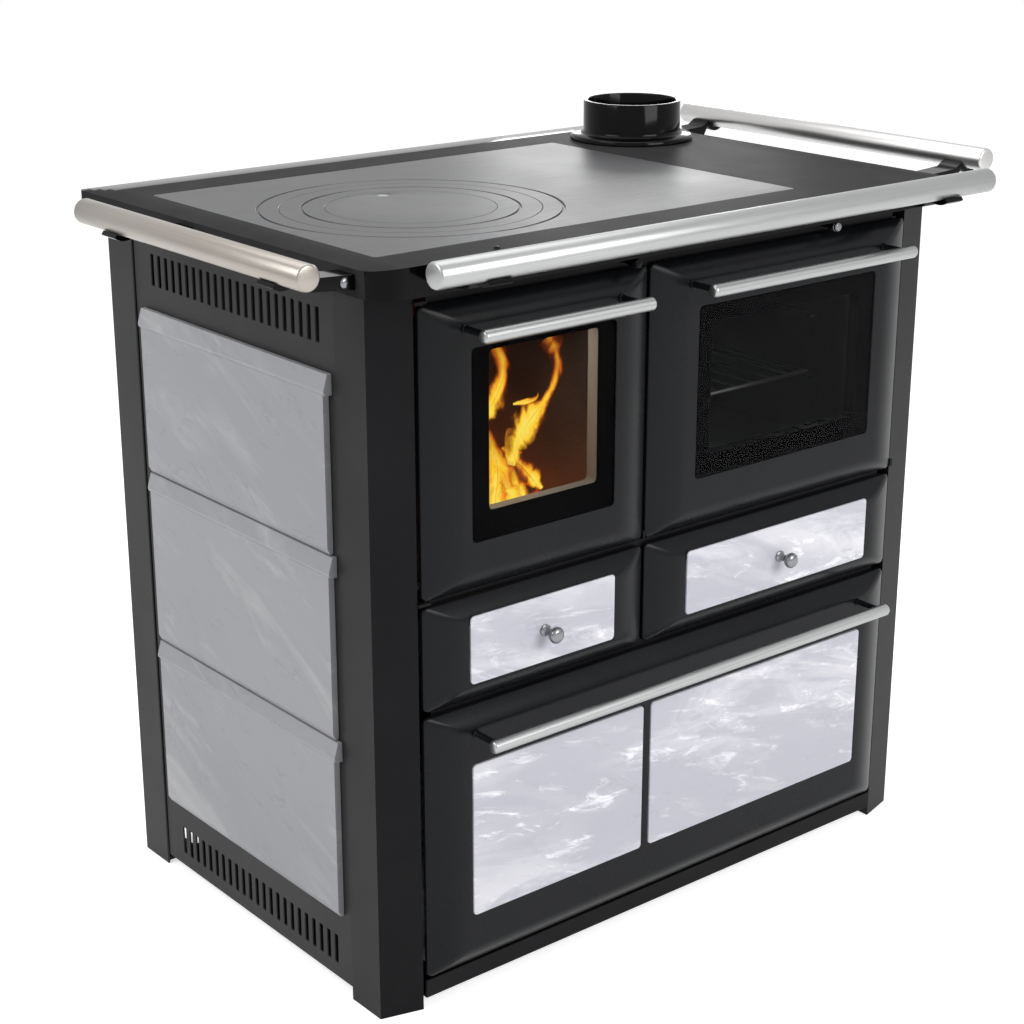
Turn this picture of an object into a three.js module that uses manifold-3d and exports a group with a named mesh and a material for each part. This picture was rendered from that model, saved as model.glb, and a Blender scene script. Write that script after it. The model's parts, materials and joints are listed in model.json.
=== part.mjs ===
// Wood-burning cookstove: a firebox and an oven side by side under one hob, with three drawers below,
// stone-clad sides and a steel rail round the top.
// Millimetres. X runs to the right along the front, Y to the back, Z up.
// The origin is on the floor, at the centre of the whole outline.

import * as THREE from 'three';
import { mergeVertices } from 'three/addons/utils/BufferGeometryUtils.js';
import Module from 'manifold-3d';

const wasm = await Module();
wasm.setup();

// ---------------------------------------------------------------- driving dimensions
const GAP = 0.4;                    // clearance between pieces that seat on each other
const SHEET = 3;                    // thickness of the folded steel sheet

// casing
const HOB_Z = 860;                  // cooking surface above the floor
const BODY_W = 846;                 // over the outer faces of the corner posts
const BODY_D = 520;
const FRONT = -220;                 // the outer front corners of the posts
const BACK = FRONT + BODY_D;
const SIDE = BODY_W / 2;
const POST_FACE_W = 50;             // slanted front face of a front post
const POST_FACE_LEAN = 14;          // how far its inner edge stands forward
const POST_SIDE_W = 54;
const POST_INNER = SIDE - POST_FACE_W;
const POST_TOP = HOB_Z - 4 - GAP;
const FOOT_PAD = 6;
const BASE_Z = 14;                  // underside of the base tray

// fronts: every door and drawer has the same raised, bevelled face
const FRONT_BACK_Y = FRONT - 12;    // back plane of the fronts
const FRONT_EDGE_Y = FRONT - 16;    // where the bevel starts
const FACE_Y = FRONT - 31;          // flat middle of the fronts
const BEVEL_SIDE = 48;
const BEVEL_END = 26;
const FRONTS_LEFT = -369;
const FRONTS_RIGHT = 369;
const FIREBOX_RIGHT = -55;          // right edge of the firebox door and the ash drawer
const OVEN_LEFT = -51;              // left edge of the oven door and the drawer under it
const DOOR_Z = [493, 813];
const DRAWER_Z = [365, 486];
const WOOD_Z = [40, 358];

// frame bars behind the fronts
const BAR_Y = [FRONT - 10.8, FRONT - 6];
const BAR_HALF = 355;
const MULLION_X = [-65, -41];

// hinges
const PIN_R = 2.5;
const KNUCKLE_R = 4.5;
const KNUCKLE_LENGTH = 14;
const FIREBOX_AXIS = [-363, FRONT - 14];
const OVEN_AXIS = [FRONT - 14, 499];

// top
const TOP_OVERHANG = 10;
const TOP_FRONT = FRONT - 40;
const TOP_BACK = FRONT + 565;
const TOP_CORNER_R = 38;            // front corners of the top
const TOP_BACK_CORNER_R = 8;
const TOP_SKIRT = 32;
const TOP_SHEET = 4;
const HOB_X = [-394, 215];
const HOB_Y = [FRONT + 20, FRONT + 462];
const HOB_THICK = 9;
const LEDGE = 12;                   // shelf under the edge of the hob plate
const RINGS_AT = [-203, FRONT + 216];
const PLATE_GROOVE_R = 172;
const RING_R = 148;
const RING_GROOVE_R = 123;
const LID_R = 97;
const FLUE_AT = [323, FRONT + 425];
const FLUE_R = 65;
const FLUE_BORE_R = 59;
const FLUE_FLANGE_R = 82;
const FLUE_TOP = 912;

// rails
const RAIL_R = 14;
const RAIL_Z = 867;
const FRONT_RAIL_Y = FRONT - 111;
const FRONT_RAIL_X = [-420, 404];
const SIDE_RAIL_X = SIDE + 94;
const LEFT_RAIL_Y = [FRONT - 45, FRONT + 393];
const RIGHT_RAIL_Y = [FRONT - 20, FRONT + 520];
const BRACKET_W = 30;
const FRONT_BRACKET_X = [-346, 331];
const LEFT_BRACKET_Y = [FRONT + 14, FRONT + 320];
const RIGHT_BRACKET_Y = [FRONT + 22, FRONT + 475];

// handles and knobs
const HANDLE_R = 7.5;
const HANDLE_Y = FRONT - 71;
const DOOR_HANDLE_Z = 785;
const WOOD_HANDLE_Z = 330;
const KNOB_Z = 427;
const CONTROL_Z = 822;
const AIR_X = -90;
const BYPASS_X = 225;

// glass
const GLASS_THICK = 4;
const FIREBOX_GLASS = { x: [-311, -112], z: [551, 762] };
const FIREBOX_WINDOW = { x: [-287, -136], z: [581, 757] };
const OVEN_GLASS = { x: [14, 306], z: [555, 757] };
const OVEN_WINDOW = { x: [37, 283], z: [579, 735] };

// tiles
const TILE_THICK = 5;
const SMALL_TILE_Z = [389, 468];
const ASH_TILE_X = [-316, -109];
const WARMING_TILE_X = [4, 313];
const WOOD_TILE_Z = [106, 292];
const WOOD_TILE_X = [[-314, -60], [-48, 313]];
const SIDE_TILE_Y = [FRONT + 69, FRONT + 443];
const SIDE_TILE_LEVELS = [100, 319, 535, 736];
const TILE_LIP_END = 6;             // the lip is longer than the tile's body at its front end

// inside
const FLOOR_Z = 500;                // underside of the firebox floor
const FLOOR_THICK = 8;
const GRATE_X = [-300, -130];
const GRATE_Y = [FRONT + 90, FRONT + 350];
const LINER_THICK = 26;
const LINER_TOP = 790;
const LINER_X = [-366, -58];
const LINER_Y = [FRONT + 6, FRONT + 466];
const OVEN_X = [-32, 362];
const OVEN_Y = [FRONT - 5.4, FRONT + 440];
const OVEN_Z = [508, 786];
const OVEN_WALL = 4;
const RACK_Z = 600;
const SHELF_Z = 371;
const TRAY_WALL = 3;

// ---------------------------------------------------------------- materials
const paint = (color, roughness, metalness = 0) => new THREE.MeshStandardMaterial({ color, roughness, metalness });
const enamel = paint(0x2b2d30, 0.4, 0.3);
const sideSteel = paint(0x3c3d3f, 0.5, 0.3);
const castIron = paint(0x77787a, 0.55, 0.6);
const steel = paint(0xc9cacb, 0.3, 1);
const glossBlack = paint(0x0c0c0d, 0.2);
const stone = paint(0xa6a6ac, 0.6);
const paleStone = paint(0xd6d4e0, 0.5);
const firebrick = paint(0xb79a78, 0.9);
const glass = paint(0x101114, 0.1);
const bareSteel = paint(0x86888a, 0.5, 0.8);

// ---------------------------------------------------------------- solids
const stove = new THREE.Group();

function add(name, geometry, material) {
  const mesh = new THREE.Mesh(geometry, material);
  mesh.name = name;
  stove.add(mesh);
  return mesh;
}

function toManifold(geometry) {
  const bare = new THREE.BufferGeometry();
  bare.setAttribute('position', geometry.getAttribute('position').clone());
  if (geometry.index) bare.setIndex(geometry.index.clone());
  const merged = mergeVertices(bare, 1e-4);
  const triVerts = new Uint32Array(merged.index.array);
  const vertProperties = new Float32Array(merged.getAttribute('position').array);
  return new wasm.Manifold(new wasm.Mesh({ numProp: 3, vertProperties, triVerts }));
}

function toGeometry(manifold) {
  const mesh = manifold.getMesh();
  const geometry = new THREE.BufferGeometry();
  geometry.setAttribute('position', new THREE.BufferAttribute(new Float32Array(mesh.vertProperties), 3));
  geometry.setIndex(new THREE.BufferAttribute(new Uint32Array(mesh.triVerts), 1));
  geometry.computeVertexNormals();
  return geometry;
}

function fuse(...geometries) {
  return toGeometry(geometries.map(toManifold).reduce((whole, piece) => whole.add(piece)));
}

function cut(geometry, ...tools) {
  return toGeometry(tools.map(toManifold).reduce((rest, tool) => rest.subtract(tool), toManifold(geometry)));
}

function box(x, y, z) {
  const geometry = new THREE.BoxGeometry(x[1] - x[0], y[1] - y[0], z[1] - z[0]);
  return geometry.translate((x[0] + x[1]) / 2, (y[0] + y[1]) / 2, (z[0] + z[1]) / 2);
}

// A profile pushed along an axis. Its own two directions are (y, z) along x, (x, z) along y, (x, y) along z.
function prism(profile, axis, from, to, curveSegments = 4) {
  const shape = profile instanceof THREE.Shape ? profile : outline(profile);
  const depth = to - from;
  const geometry = new THREE.ExtrudeGeometry(shape, { depth, bevelEnabled: false, curveSegments });
  if (axis === 'x') {
    const basis = new THREE.Matrix4().makeBasis(
      new THREE.Vector3(0, 1, 0), new THREE.Vector3(0, 0, 1), new THREE.Vector3(1, 0, 0));
    return geometry.applyMatrix4(basis).translate(from, 0, 0);
  }
  if (axis === 'y') return geometry.rotateX(Math.PI / 2).translate(0, to, 0);
  return geometry.translate(0, 0, from);
}

function outline(points) {
  return new THREE.Shape(points.map(([u, v]) => new THREE.Vector2(u, v)));
}

function roundedRect(u, v, r, farR = r) {
  const shape = new THREE.Shape();
  shape.moveTo(u[0] + r, v[0]);
  shape.lineTo(u[1] - r, v[0]).absarc(u[1] - r, v[0] + r, r, -Math.PI / 2, 0);
  shape.lineTo(u[1], v[1] - farR).absarc(u[1] - farR, v[1] - farR, farR, 0, Math.PI / 2);
  shape.lineTo(u[0] + farR, v[1]).absarc(u[0] + farR, v[1] - farR, farR, Math.PI / 2, Math.PI);
  shape.lineTo(u[0], v[0] + r).absarc(u[0] + r, v[0] + r, r, Math.PI, Math.PI * 1.5);
  return shape;
}

// A profile of [radius, height] turned round a vertical axis.
function turned(profile, [x, y], segments = 40) {
  const points = profile.map(([r, z]) => new THREE.Vector2(r, z));
  return new THREE.LatheGeometry(points, segments).rotateX(Math.PI / 2).translate(x, y, 0);
}

function rod(axis, radius, from, to, at, segments = 16) {
  const geometry = new THREE.CylinderGeometry(radius, radius, to - from, segments);
  const middle = (from + to) / 2;
  if (axis === 'x') return geometry.rotateZ(Math.PI / 2).translate(middle, at[0], at[1]);
  if (axis === 'y') return geometry.translate(at[0], middle, at[1]);
  return geometry.rotateX(Math.PI / 2).translate(at[0], at[1], middle);
}

// Cross-sections with the same number of points, joined one after another and closed at both ends.
function loft(sections) {
  const count = sections[0].length;
  const index = [];
  for (let s = 0; s + 1 < sections.length; s++) {
    for (let i = 0; i < count; i++) {
      const a = s * count + i;
      const b = s * count + (i + 1) % count;
      index.push(a, b, b + count, a, b + count, a + count);
    }
  }
  const last = (sections.length - 1) * count;
  for (let i = 1; i + 1 < count; i++) {
    index.push(0, i + 1, i);
    index.push(last, last + i, last + i + 1);
  }
  const geometry = new THREE.BufferGeometry();
  geometry.setAttribute('position', new THREE.Float32BufferAttribute(sections.flat(2), 3));
  geometry.setIndex(index);
  return geometry;
}

// ---------------------------------------------------------------- casing
// Plan of a folded front post, as distances in from the casing's side and back from its front.
const FRONT_POST_PLAN = [
  [0, POST_SIDE_W], [0, 0], [POST_FACE_W, -POST_FACE_LEAN], [POST_FACE_W, 12],
  [POST_FACE_W - SHEET, 12], [POST_FACE_W - SHEET, 4 - POST_FACE_LEAN],
  [SHEET, SHEET - 1], [SHEET, POST_SIDE_W],
];
const FRONT_PAD_Y = [FRONT + 2, FRONT + POST_SIDE_W - 4];
const REAR_PAD_Y = [BACK - 50, BACK - 1];
const REAR_POST_PLAN = [
  [0, 464], [0, BODY_D], [52, BODY_D], [52, BODY_D - SHEET], [SHEET, BODY_D - SHEET], [SHEET, 464],
];

// The post's foot is a flat pad welded into the bottom of the fold.
function post(plan, side, padY) {
  const points = plan.map(([inward, back]) => [side * (SIDE - inward), FRONT + back]);
  const padX = [side * (SIDE - 1), side * (SIDE - POST_FACE_W + 2)].sort((a, b) => a - b);
  return fuse(prism(points, 'z', 0, POST_TOP), box(padX, padY, [0, FOOT_PAD]));
}

// A lug on a post's inner edge with an upright pin, above or below the firebox door.
function uprightPin(lugZ, pinZ) {
  const [x, y] = FIREBOX_AXIS;
  const lug = box([-POST_INNER - 1, x + KNUCKLE_R], [y - KNUCKLE_R, y + KNUCKLE_R], lugZ);
  return [lug, rod('z', PIN_R, ...pinZ, [x, y], 12)];
}

const PIN_LUG_TOP = [DOOR_Z[1] + 1, DOOR_Z[1] + 4.5];
const PIN_LUG_BOTTOM = [DOOR_Z[0] - 4.5, DOOR_Z[0] - 1];
const PIN_DEPTH = 10;

// A lug with a level pin at one lower corner of the oven door.
function levelPin(lugX, pinX, rootY) {
  const [y, z] = OVEN_AXIS;
  const lug = box(lugX, [y - KNUCKLE_R, rootY], [z - KNUCKLE_R, z + KNUCKLE_R]);
  return [lug, rod('x', PIN_R, ...pinX, [y, z], 12)];
}

function sidePanel(side) {
  const slotCount = 23;
  const slotPitch = 15.2;
  const slotWidth = 6.5;
  const firstSlot = FRONT + 84;
  const x = [side * (SIDE - 2), side * (SIDE - 4)].sort((a, b) => a - b);
  const slots = [];
  for (const z of [[32, 68], [764, 801]]) {
    for (let i = 0; i < slotCount; i++) {
      const start = firstSlot + i * slotPitch;
      slots.push(box([x[0] - 1, x[1] + 1], [start, start + slotWidth], z));
    }
  }
  return cut(box(x, [FRONT + 56, FRONT + 462], [BASE_Z, POST_TOP]), ...slots);
}

// One stone slab of the side cladding: a flat body under a low lip that overhangs it at the front end.
function sideTile(side, z0, z1) {
  const place = (points) => points.map(([out, z]) => [side * (SIDE + out), z]);
  const seat = GAP - 2;
  const body = [[seat, z0], [2.5, z0], [6, z0 + 7], [6, z1 - 19], [seat, z1 - 19]];
  const lip = [
    [seat, z1 - 23], [6.4, z1 - 23], [8.6, z1 - 20.5], [9.2, z1 - 18], [8.8, z1 - 15.5], [4, z1], [seat, z1],
  ];
  const bodySolid = prism(place(body), 'y', ...SIDE_TILE_Y);
  const lipSolid = prism(place(lip), 'y', SIDE_TILE_Y[0] - TILE_LIP_END, SIDE_TILE_Y[1]);
  return fuse(bodySolid, lipSolid);
}

function baseTray() {
  const wide = SIDE - 4 - GAP;
  const narrow = SIDE - 53;
  const y = [FRONT - 13, FRONT + 57, FRONT + 461, BACK - 5];
  const plan = [
    [-narrow, y[0]], [narrow, y[0]], [narrow, y[1]], [wide, y[1]], [wide, y[2]], [narrow, y[2]],
    [narrow, y[3]], [-narrow, y[3]], [-narrow, y[2]], [-wide, y[2]], [-wide, y[1]], [-narrow, y[1]],
  ];
  const floor = prism(plan, 'z', BASE_Z, BASE_Z + SHEET);
  const skirt = box([-narrow, narrow], [FRONT - 16, FRONT - 13 + GAP], [BASE_Z, WOOD_Z[0] - 4]);
  const runnerZ = [BASE_Z + 1, WOOD_Z[0] + 2 - GAP];
  const runners = [-310, 310].map((x) => box([x - 12, x + 12], [FRONT + 30, FRONT + 450], runnerZ));
  return fuse(floor, skirt, ...runners);
}

function backPanel() {
  const slotCount = 18;
  const slotPitch = 34;
  const slotWidth = 10;
  const y = [BACK - 4, BACK - 2];
  const slots = [];
  for (const z of [[40, 76], [760, 796]]) {
    for (let i = 0; i < slotCount; i++) {
      const start = (i - slotCount / 2) * slotPitch + (slotPitch - slotWidth) / 2;
      slots.push(box([start, start + slotWidth], [y[0] - 1, y[1] + 1], z));
    }
  }
  return cut(box([-SIDE + 54, SIDE - 54], y, [BASE_Z, POST_TOP]), ...slots);
}

add('base_tray', baseTray(), enamel);
add('front_left_post', fuse(
  post(FRONT_POST_PLAN, -1, FRONT_PAD_Y),
  ...uprightPin(PIN_LUG_TOP, [DOOR_Z[1] - PIN_DEPTH, PIN_LUG_TOP[1] - 1]),
  ...uprightPin(PIN_LUG_BOTTOM, [PIN_LUG_BOTTOM[0] + 1, DOOR_Z[0] + PIN_DEPTH])), enamel);
add('front_right_post', fuse(
  post(FRONT_POST_PLAN, 1, FRONT_PAD_Y),
  ...levelPin([FRONTS_RIGHT + 0.6, POST_INNER + 1], [FRONTS_RIGHT - PIN_DEPTH, POST_INNER],
    OVEN_AXIS[0] + KNUCKLE_R)), enamel);
add('rear_left_post', post(REAR_POST_PLAN, -1, REAR_PAD_Y), enamel);
add('rear_right_post', post(REAR_POST_PLAN, 1, REAR_PAD_Y), enamel);
add('left_side_panel', sidePanel(-1), sideSteel);
add('right_side_panel', sidePanel(1), sideSteel);
add('back_panel', backPanel(), sideSteel);

['lower', 'middle', 'upper'].forEach((level, i) => {
  const z = [SIDE_TILE_LEVELS[i] + 0.8, SIDE_TILE_LEVELS[i + 1] - 0.8];
  add(`left_tile_${level}`, sideTile(-1, ...z), stone);
  add(`right_tile_${level}`, sideTile(1, ...z), stone);
});

// ---------------------------------------------------------------- frame behind the fronts
const controlHole = (x) => rod('y', 3.6, BAR_Y[0] - 1, BAR_Y[1] + 1, [x, CONTROL_Z], 12);
add('frame_top_bar', cut(box([-BAR_HALF, BAR_HALF], BAR_Y, [798, 827]), controlHole(AIR_X), controlHole(BYPASS_X)),
  enamel);
add('frame_middle_bar', box([-BAR_HALF, BAR_HALF], BAR_Y, [472, 491]), enamel);

const mullionY = [BAR_Y[1] + GAP, FRONT];
add('frame_mullion', fuse(
  box(MULLION_X, mullionY, [SHELF_Z + SHEET + GAP, 827]),
  ...levelPin([FIREBOX_RIGHT + 0.6, OVEN_LEFT - 0.6], [FIREBOX_RIGHT + 1, OVEN_LEFT + PIN_DEPTH],
    mullionY[1])), enamel);

// The shelf under the two small drawers has a folded front edge that shows between the fronts.
const shelfHalf = SIDE - 53;
add('drawer_shelf', fuse(
  box([-shelfHalf, shelfHalf], [BAR_Y[1] - 1, BACK - 6], [SHELF_Z, SHELF_Z + SHEET]),
  box([-BAR_HALF, BAR_HALF], BAR_Y, [352, SHELF_Z + SHEET])), enamel);

// ---------------------------------------------------------------- firebox and oven
const floorTop = FLOOR_Z + FLOOR_THICK;
const grateLedge = 10;
const shrink = ([low, high], by) => [low + by, high - by];
add('firebox_floor', cut(
  box([-SIDE + 5, MULLION_X[1]], [FRONT + 3, BACK - 5], [FLOOR_Z, floorTop]),
  box([-SIDE, -POST_INNER + 1], [FRONT - 20, FRONT + 58], [FLOOR_Z - 1, floorTop + 1]),
  box([-SIDE, -SIDE + 54], [FRONT + 460, BACK], [FLOOR_Z - 1, floorTop + 1]),
  box(shrink(GRATE_X, grateLedge), shrink(GRATE_Y, grateLedge), [FLOOR_Z - 1, floorTop + 1]),
  box(GRATE_X, GRATE_Y, [floorTop - 4, floorTop + 1])), bareSteel);

function grate() {
  const x = shrink(GRATE_X, 1);
  const y = shrink(GRATE_Y, 1);
  const z = [floorTop - 4 + GAP, floorTop + 10];
  const gapCount = 11;
  const gapWidth = 7;
  const pitch = (x[1] - x[0] - 2 * grateLedge) / gapCount;
  const gaps = [];
  for (let i = 0; i < gapCount; i++) {
    const start = x[0] + grateLedge + i * pitch + (pitch - gapWidth) / 2;
    for (const length of [[y[0] + 14, y[0] + 122], [y[0] + 136, y[1] - 14]]) {
      gaps.push(box([start, start + gapWidth], length, [z[0] - 1, z[1] + 1]));
    }
  }
  return cut(box(x, y, z), ...gaps);
}
add('ash_grate', grate(), castIron);

const linerZ = [floorTop + GAP, LINER_TOP];
add('left_firebrick', box([LINER_X[0], LINER_X[0] + LINER_THICK], LINER_Y, linerZ), firebrick);
add('right_firebrick', box([LINER_X[1] - LINER_THICK, LINER_X[1]], LINER_Y, linerZ), firebrick);
add('rear_firebrick', box(
  [LINER_X[0] + LINER_THICK + GAP, LINER_X[1] - LINER_THICK - GAP],
  [LINER_Y[1] - LINER_THICK, LINER_Y[1]], linerZ), firebrick);

function ovenBox() {
  const shell = box(OVEN_X, OVEN_Y, OVEN_Z);
  const flange = box([OVEN_X[0] - 6, OVEN_X[1] + 6], [OVEN_Y[0], OVEN_Y[0] + SHEET], [OVEN_Z[0] - 20, OVEN_Z[1] + 26]);
  const inner = [shrink(OVEN_X, OVEN_WALL), shrink(OVEN_Z, OVEN_WALL)];
  const cavity = box(inner[0], [OVEN_Y[0] - 1, OVEN_Y[1] - OVEN_WALL], inner[1]);
  const guides = [];
  for (const z of [RACK_Z - 10, RACK_Z + 70]) {
    for (const [x0, x1] of [[inner[0][0] - 1, inner[0][0] + 8], [inner[0][1] - 8, inner[0][1] + 1]]) {
      guides.push(box([x0, x1], [FRONT + 110, FRONT + 430], [z - 5, z]));
    }
  }
  return fuse(cut(fuse(shell, flange), cavity), ...guides);
}
add('oven_box', ovenBox(), bareSteel);

function ovenRack() {
  const x = shrink(OVEN_X, OVEN_WALL + 2);
  const y = [FRONT + 118, FRONT + 426];
  const frameR = 3;
  const wireR = 1.6;
  const frameZ = RACK_Z - 10 + frameR + GAP;
  const wires = 11;
  const parts = [
    rod('x', frameR, ...x, [y[0], frameZ], 8),
    rod('x', frameR, ...x, [y[1], frameZ], 8),
    rod('y', frameR, ...y, [x[0] + frameR, frameZ], 8),
    rod('y', frameR, ...y, [x[1] - frameR, frameZ], 8),
  ];
  for (let i = 1; i <= wires; i++) {
    const wireX = x[0] + (x[1] - x[0]) * i / (wires + 1);
    parts.push(rod('y', wireR, ...y, [wireX, frameZ + 1], 6));
  }
  return fuse(...parts);
}
add('oven_rack', ovenRack(), steel);

// ---------------------------------------------------------------- top
function topFrame() {
  const x = [-SIDE - TOP_OVERHANG, SIDE + TOP_OVERHANG];
  const y = [TOP_FRONT, TOP_BACK];
  const z = [HOB_Z - TOP_SKIRT, HOB_Z];
  const under = HOB_Z - TOP_SHEET;
  const slab = prism(roundedRect(x, y, TOP_CORNER_R, TOP_BACK_CORNER_R), 'z', ...z, 5);
  const inside = roundedRect(shrink(x, SHEET), shrink(y, SHEET), TOP_CORNER_R - SHEET, TOP_BACK_CORNER_R - SHEET);
  const hollow = prism(inside, 'z', z[0] - 1, under, 5);
  const ledgeZ = [HOB_Z - HOB_THICK - 4, under + 0.5];
  const ledge = box([HOB_X[0] - 6, HOB_X[1] + 6], [HOB_Y[0] - 6, HOB_Y[1] + 6], ledgeZ);
  const seatZ = [HOB_Z - HOB_THICK - GAP, HOB_Z + 1];
  const seat = prism(roundedRect([HOB_X[0] - 1, HOB_X[1] + 1], [HOB_Y[0] - 1, HOB_Y[1] + 1], 5), 'z', ...seatZ, 3);
  const mouth = box(shrink(HOB_X, LEDGE), shrink(HOB_Y, LEDGE), [z[0], HOB_Z + 1]);
  const flueHole = rod('z', FLUE_BORE_R, under - 1, HOB_Z + 1, FLUE_AT, 32);
  return cut(fuse(cut(slab, hollow), ledge), seat, mouth, flueHole);
}
add('top_frame', topFrame(), enamel);

const hobZ = [HOB_Z - HOB_THICK, HOB_Z];
const ringSeat = 5;                 // depth of the step that carries a ring
const ringLap = 8;                  // width of that step
const grooveW = 3.4;
const grooveDepth = 1.6;

function hobPlate() {
  const slab = prism(roundedRect(HOB_X, HOB_Y, 4), 'z', ...hobZ, 3);
  const top = HOB_Z + 1;
  const well = turned([
    [0, hobZ[0] - 1], [RING_R - ringLap, hobZ[0] - 1], [RING_R - ringLap, HOB_Z - ringSeat],
    [RING_R + GAP, HOB_Z - ringSeat], [RING_R + GAP, top], [0, top],
  ], RINGS_AT);
  const floor = HOB_Z - grooveDepth;
  const groove = turned([
    [PLATE_GROOVE_R - grooveW / 2, floor], [PLATE_GROOVE_R + grooveW / 2, floor],
    [PLATE_GROOVE_R + grooveW / 2, top], [PLATE_GROOVE_R - grooveW / 2, top],
    [PLATE_GROOVE_R - grooveW / 2, floor],
  ], RINGS_AT);
  return cut(slab, well, groove);
}
add('hob_plate', hobPlate(), castIron);

// The ring carries the lid on an inner step and sits on the plate by an outer one.
const ringFloor = HOB_Z - ringSeat + GAP;
add('hob_ring', turned([
  [LID_R - ringLap, hobZ[0]], [RING_R - ringLap - GAP, hobZ[0]], [RING_R - ringLap - GAP, ringFloor],
  [RING_R, ringFloor], [RING_R, HOB_Z],
  [RING_GROOVE_R + grooveW / 2, HOB_Z], [RING_GROOVE_R + grooveW / 2, HOB_Z - grooveDepth],
  [RING_GROOVE_R - grooveW / 2, HOB_Z - grooveDepth], [RING_GROOVE_R - grooveW / 2, HOB_Z],
  [LID_R + GAP, HOB_Z], [LID_R + GAP, HOB_Z - ringSeat], [LID_R - ringLap, HOB_Z - ringSeat],
  [LID_R - ringLap, hobZ[0]],
], RINGS_AT), castIron);

const lidNotch = rod('z', 7, HOB_Z - 3, HOB_Z + 1, [RINGS_AT[0] + 16, RINGS_AT[1] + 76], 16);
add('hob_lid', cut(turned([
  [0, hobZ[0]], [LID_R - ringLap - GAP, hobZ[0]], [LID_R - ringLap - GAP, ringFloor],
  [LID_R, ringFloor], [LID_R, HOB_Z], [0, HOB_Z],
], RINGS_AT), lidNotch), castIron);

const flueBase = HOB_Z + GAP;
add('flue_collar', turned([
  [FLUE_BORE_R, flueBase], [FLUE_FLANGE_R, flueBase], [FLUE_FLANGE_R, flueBase + 5], [FLUE_FLANGE_R - 3, flueBase + 7],
  [FLUE_R + 4, flueBase + 8], [FLUE_R, flueBase + 12], [FLUE_R, FLUE_TOP - 1.5], [FLUE_R - 1.5, FLUE_TOP],
  [FLUE_BORE_R, FLUE_TOP], [FLUE_BORE_R, flueBase],
], FLUE_AT, 32), glossBlack);

// ---------------------------------------------------------------- rails and their brackets
// A round bar with a chamfered edge at each end.
function rail(from, to) {
  const length = from.distanceTo(to);
  const chamfer = 2.5;
  const profile = [[0, 0], [RAIL_R - chamfer, 0], [RAIL_R, chamfer], [RAIL_R, length - chamfer],
    [RAIL_R - chamfer, length], [0, length]];
  const geometry = new THREE.LatheGeometry(profile.map(([r, y]) => new THREE.Vector2(r, y)), 24);
  const along = to.clone().sub(from).normalize();
  const turn = new THREE.Quaternion().setFromUnitVectors(new THREE.Vector3(0, 1, 0), along);
  return geometry.applyQuaternion(turn).translate(from.x, from.y, from.z);
}

// Outline of a bracket: a flat arm that leaves the skirt and ends in a half-round saddle under the rail.
function bracketOutline(reach) {
  const inner = RAIL_R + GAP;
  const outer = RAIL_R + 6;
  const shape = new THREE.Shape();
  shape.moveTo(GAP, 836);
  shape.lineTo(reach - 22, 842);
  shape.absarc(reach, RAIL_Z, outer, Math.PI * 1.22, Math.PI * 1.72);
  shape.absarc(reach, RAIL_Z, inner, Math.PI * 1.72, Math.PI * 1.1, true);
  shape.lineTo(reach - outer - 6, 855);
  shape.lineTo(GAP, 852);
  return shape;
}

function bracket(reach, at, turn) {
  const arm = prism(bracketOutline(reach), 'y', -BRACKET_W / 2, BRACKET_W / 2, 8);
  return arm.rotateZ(turn).translate(at[0], at[1], 0);
}

add('front_rail', rail(
  new THREE.Vector3(FRONT_RAIL_X[0], FRONT_RAIL_Y, RAIL_Z),
  new THREE.Vector3(FRONT_RAIL_X[1], FRONT_RAIL_Y, RAIL_Z)), steel);
['left', 'right'].forEach((name, i) => {
  const side = i === 0 ? -1 : 1;
  const railY = [LEFT_RAIL_Y, RIGHT_RAIL_Y][i];
  add(`${name}_rail`, rail(
    new THREE.Vector3(side * SIDE_RAIL_X, railY[0], RAIL_Z),
    new THREE.Vector3(side * SIDE_RAIL_X, railY[1], RAIL_Z)), steel);
  add(`front_rail_bracket_${name}`,
    bracket(TOP_FRONT - FRONT_RAIL_Y, [FRONT_BRACKET_X[i], TOP_FRONT], -Math.PI / 2), glossBlack);
  const skirtX = side * (SIDE + TOP_OVERHANG);
  const turn = side < 0 ? Math.PI : 0;
  const [frontY, rearY] = [LEFT_BRACKET_Y, RIGHT_BRACKET_Y][i];
  for (const [end, y] of [['front', frontY], ['rear', rearY]]) {
    add(`${name}_rail_bracket_${end}`, bracket(SIDE_RAIL_X - SIDE - TOP_OVERHANG, [skirtX, y], turn), glossBlack);
  }
});

// ---------------------------------------------------------------- fronts, handles and knobs
// The raised face shared by all doors and drawers: a thin upright edge, then a bevel that is wide at
// the sides and narrow at top and bottom, easing into the flat middle.
function raisedFront(x, z) {
  const cornerR = 7;
  const arcSteps = 4;
  const bevel = [
    [0, FRONT_BACK_Y], [0, FRONT_EDGE_Y], [0.05, FRONT_EDGE_Y - 2.2], [0.5, FRONT_EDGE_Y - 9],
    [0.88, FACE_Y + 1.2], [1, FACE_Y],
  ];
  const sections = bevel.map(([share, y]) => {
    const u = shrink(x, share * BEVEL_SIDE);
    const v = shrink(z, share * BEVEL_END);
    const points = [];
    const corners = [[u[1], v[0], -0.5], [u[1], v[1], 0], [u[0], v[1], 0.5], [u[0], v[0], 1]];
    for (const [cu, cv, quarter] of corners) {
      const centreU = cu + (cu === u[1] ? -cornerR : cornerR);
      const centreV = cv + (cv === v[1] ? -cornerR : cornerR);
      for (let i = 0; i <= arcSteps; i++) {
        const angle = (quarter + 0.5 * i / arcSteps) * Math.PI;
        points.push([centreU + cornerR * Math.cos(angle), y, centreV + cornerR * Math.sin(angle)]);
      }
    }
    return points;
  });
  return loft(sections);
}

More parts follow.
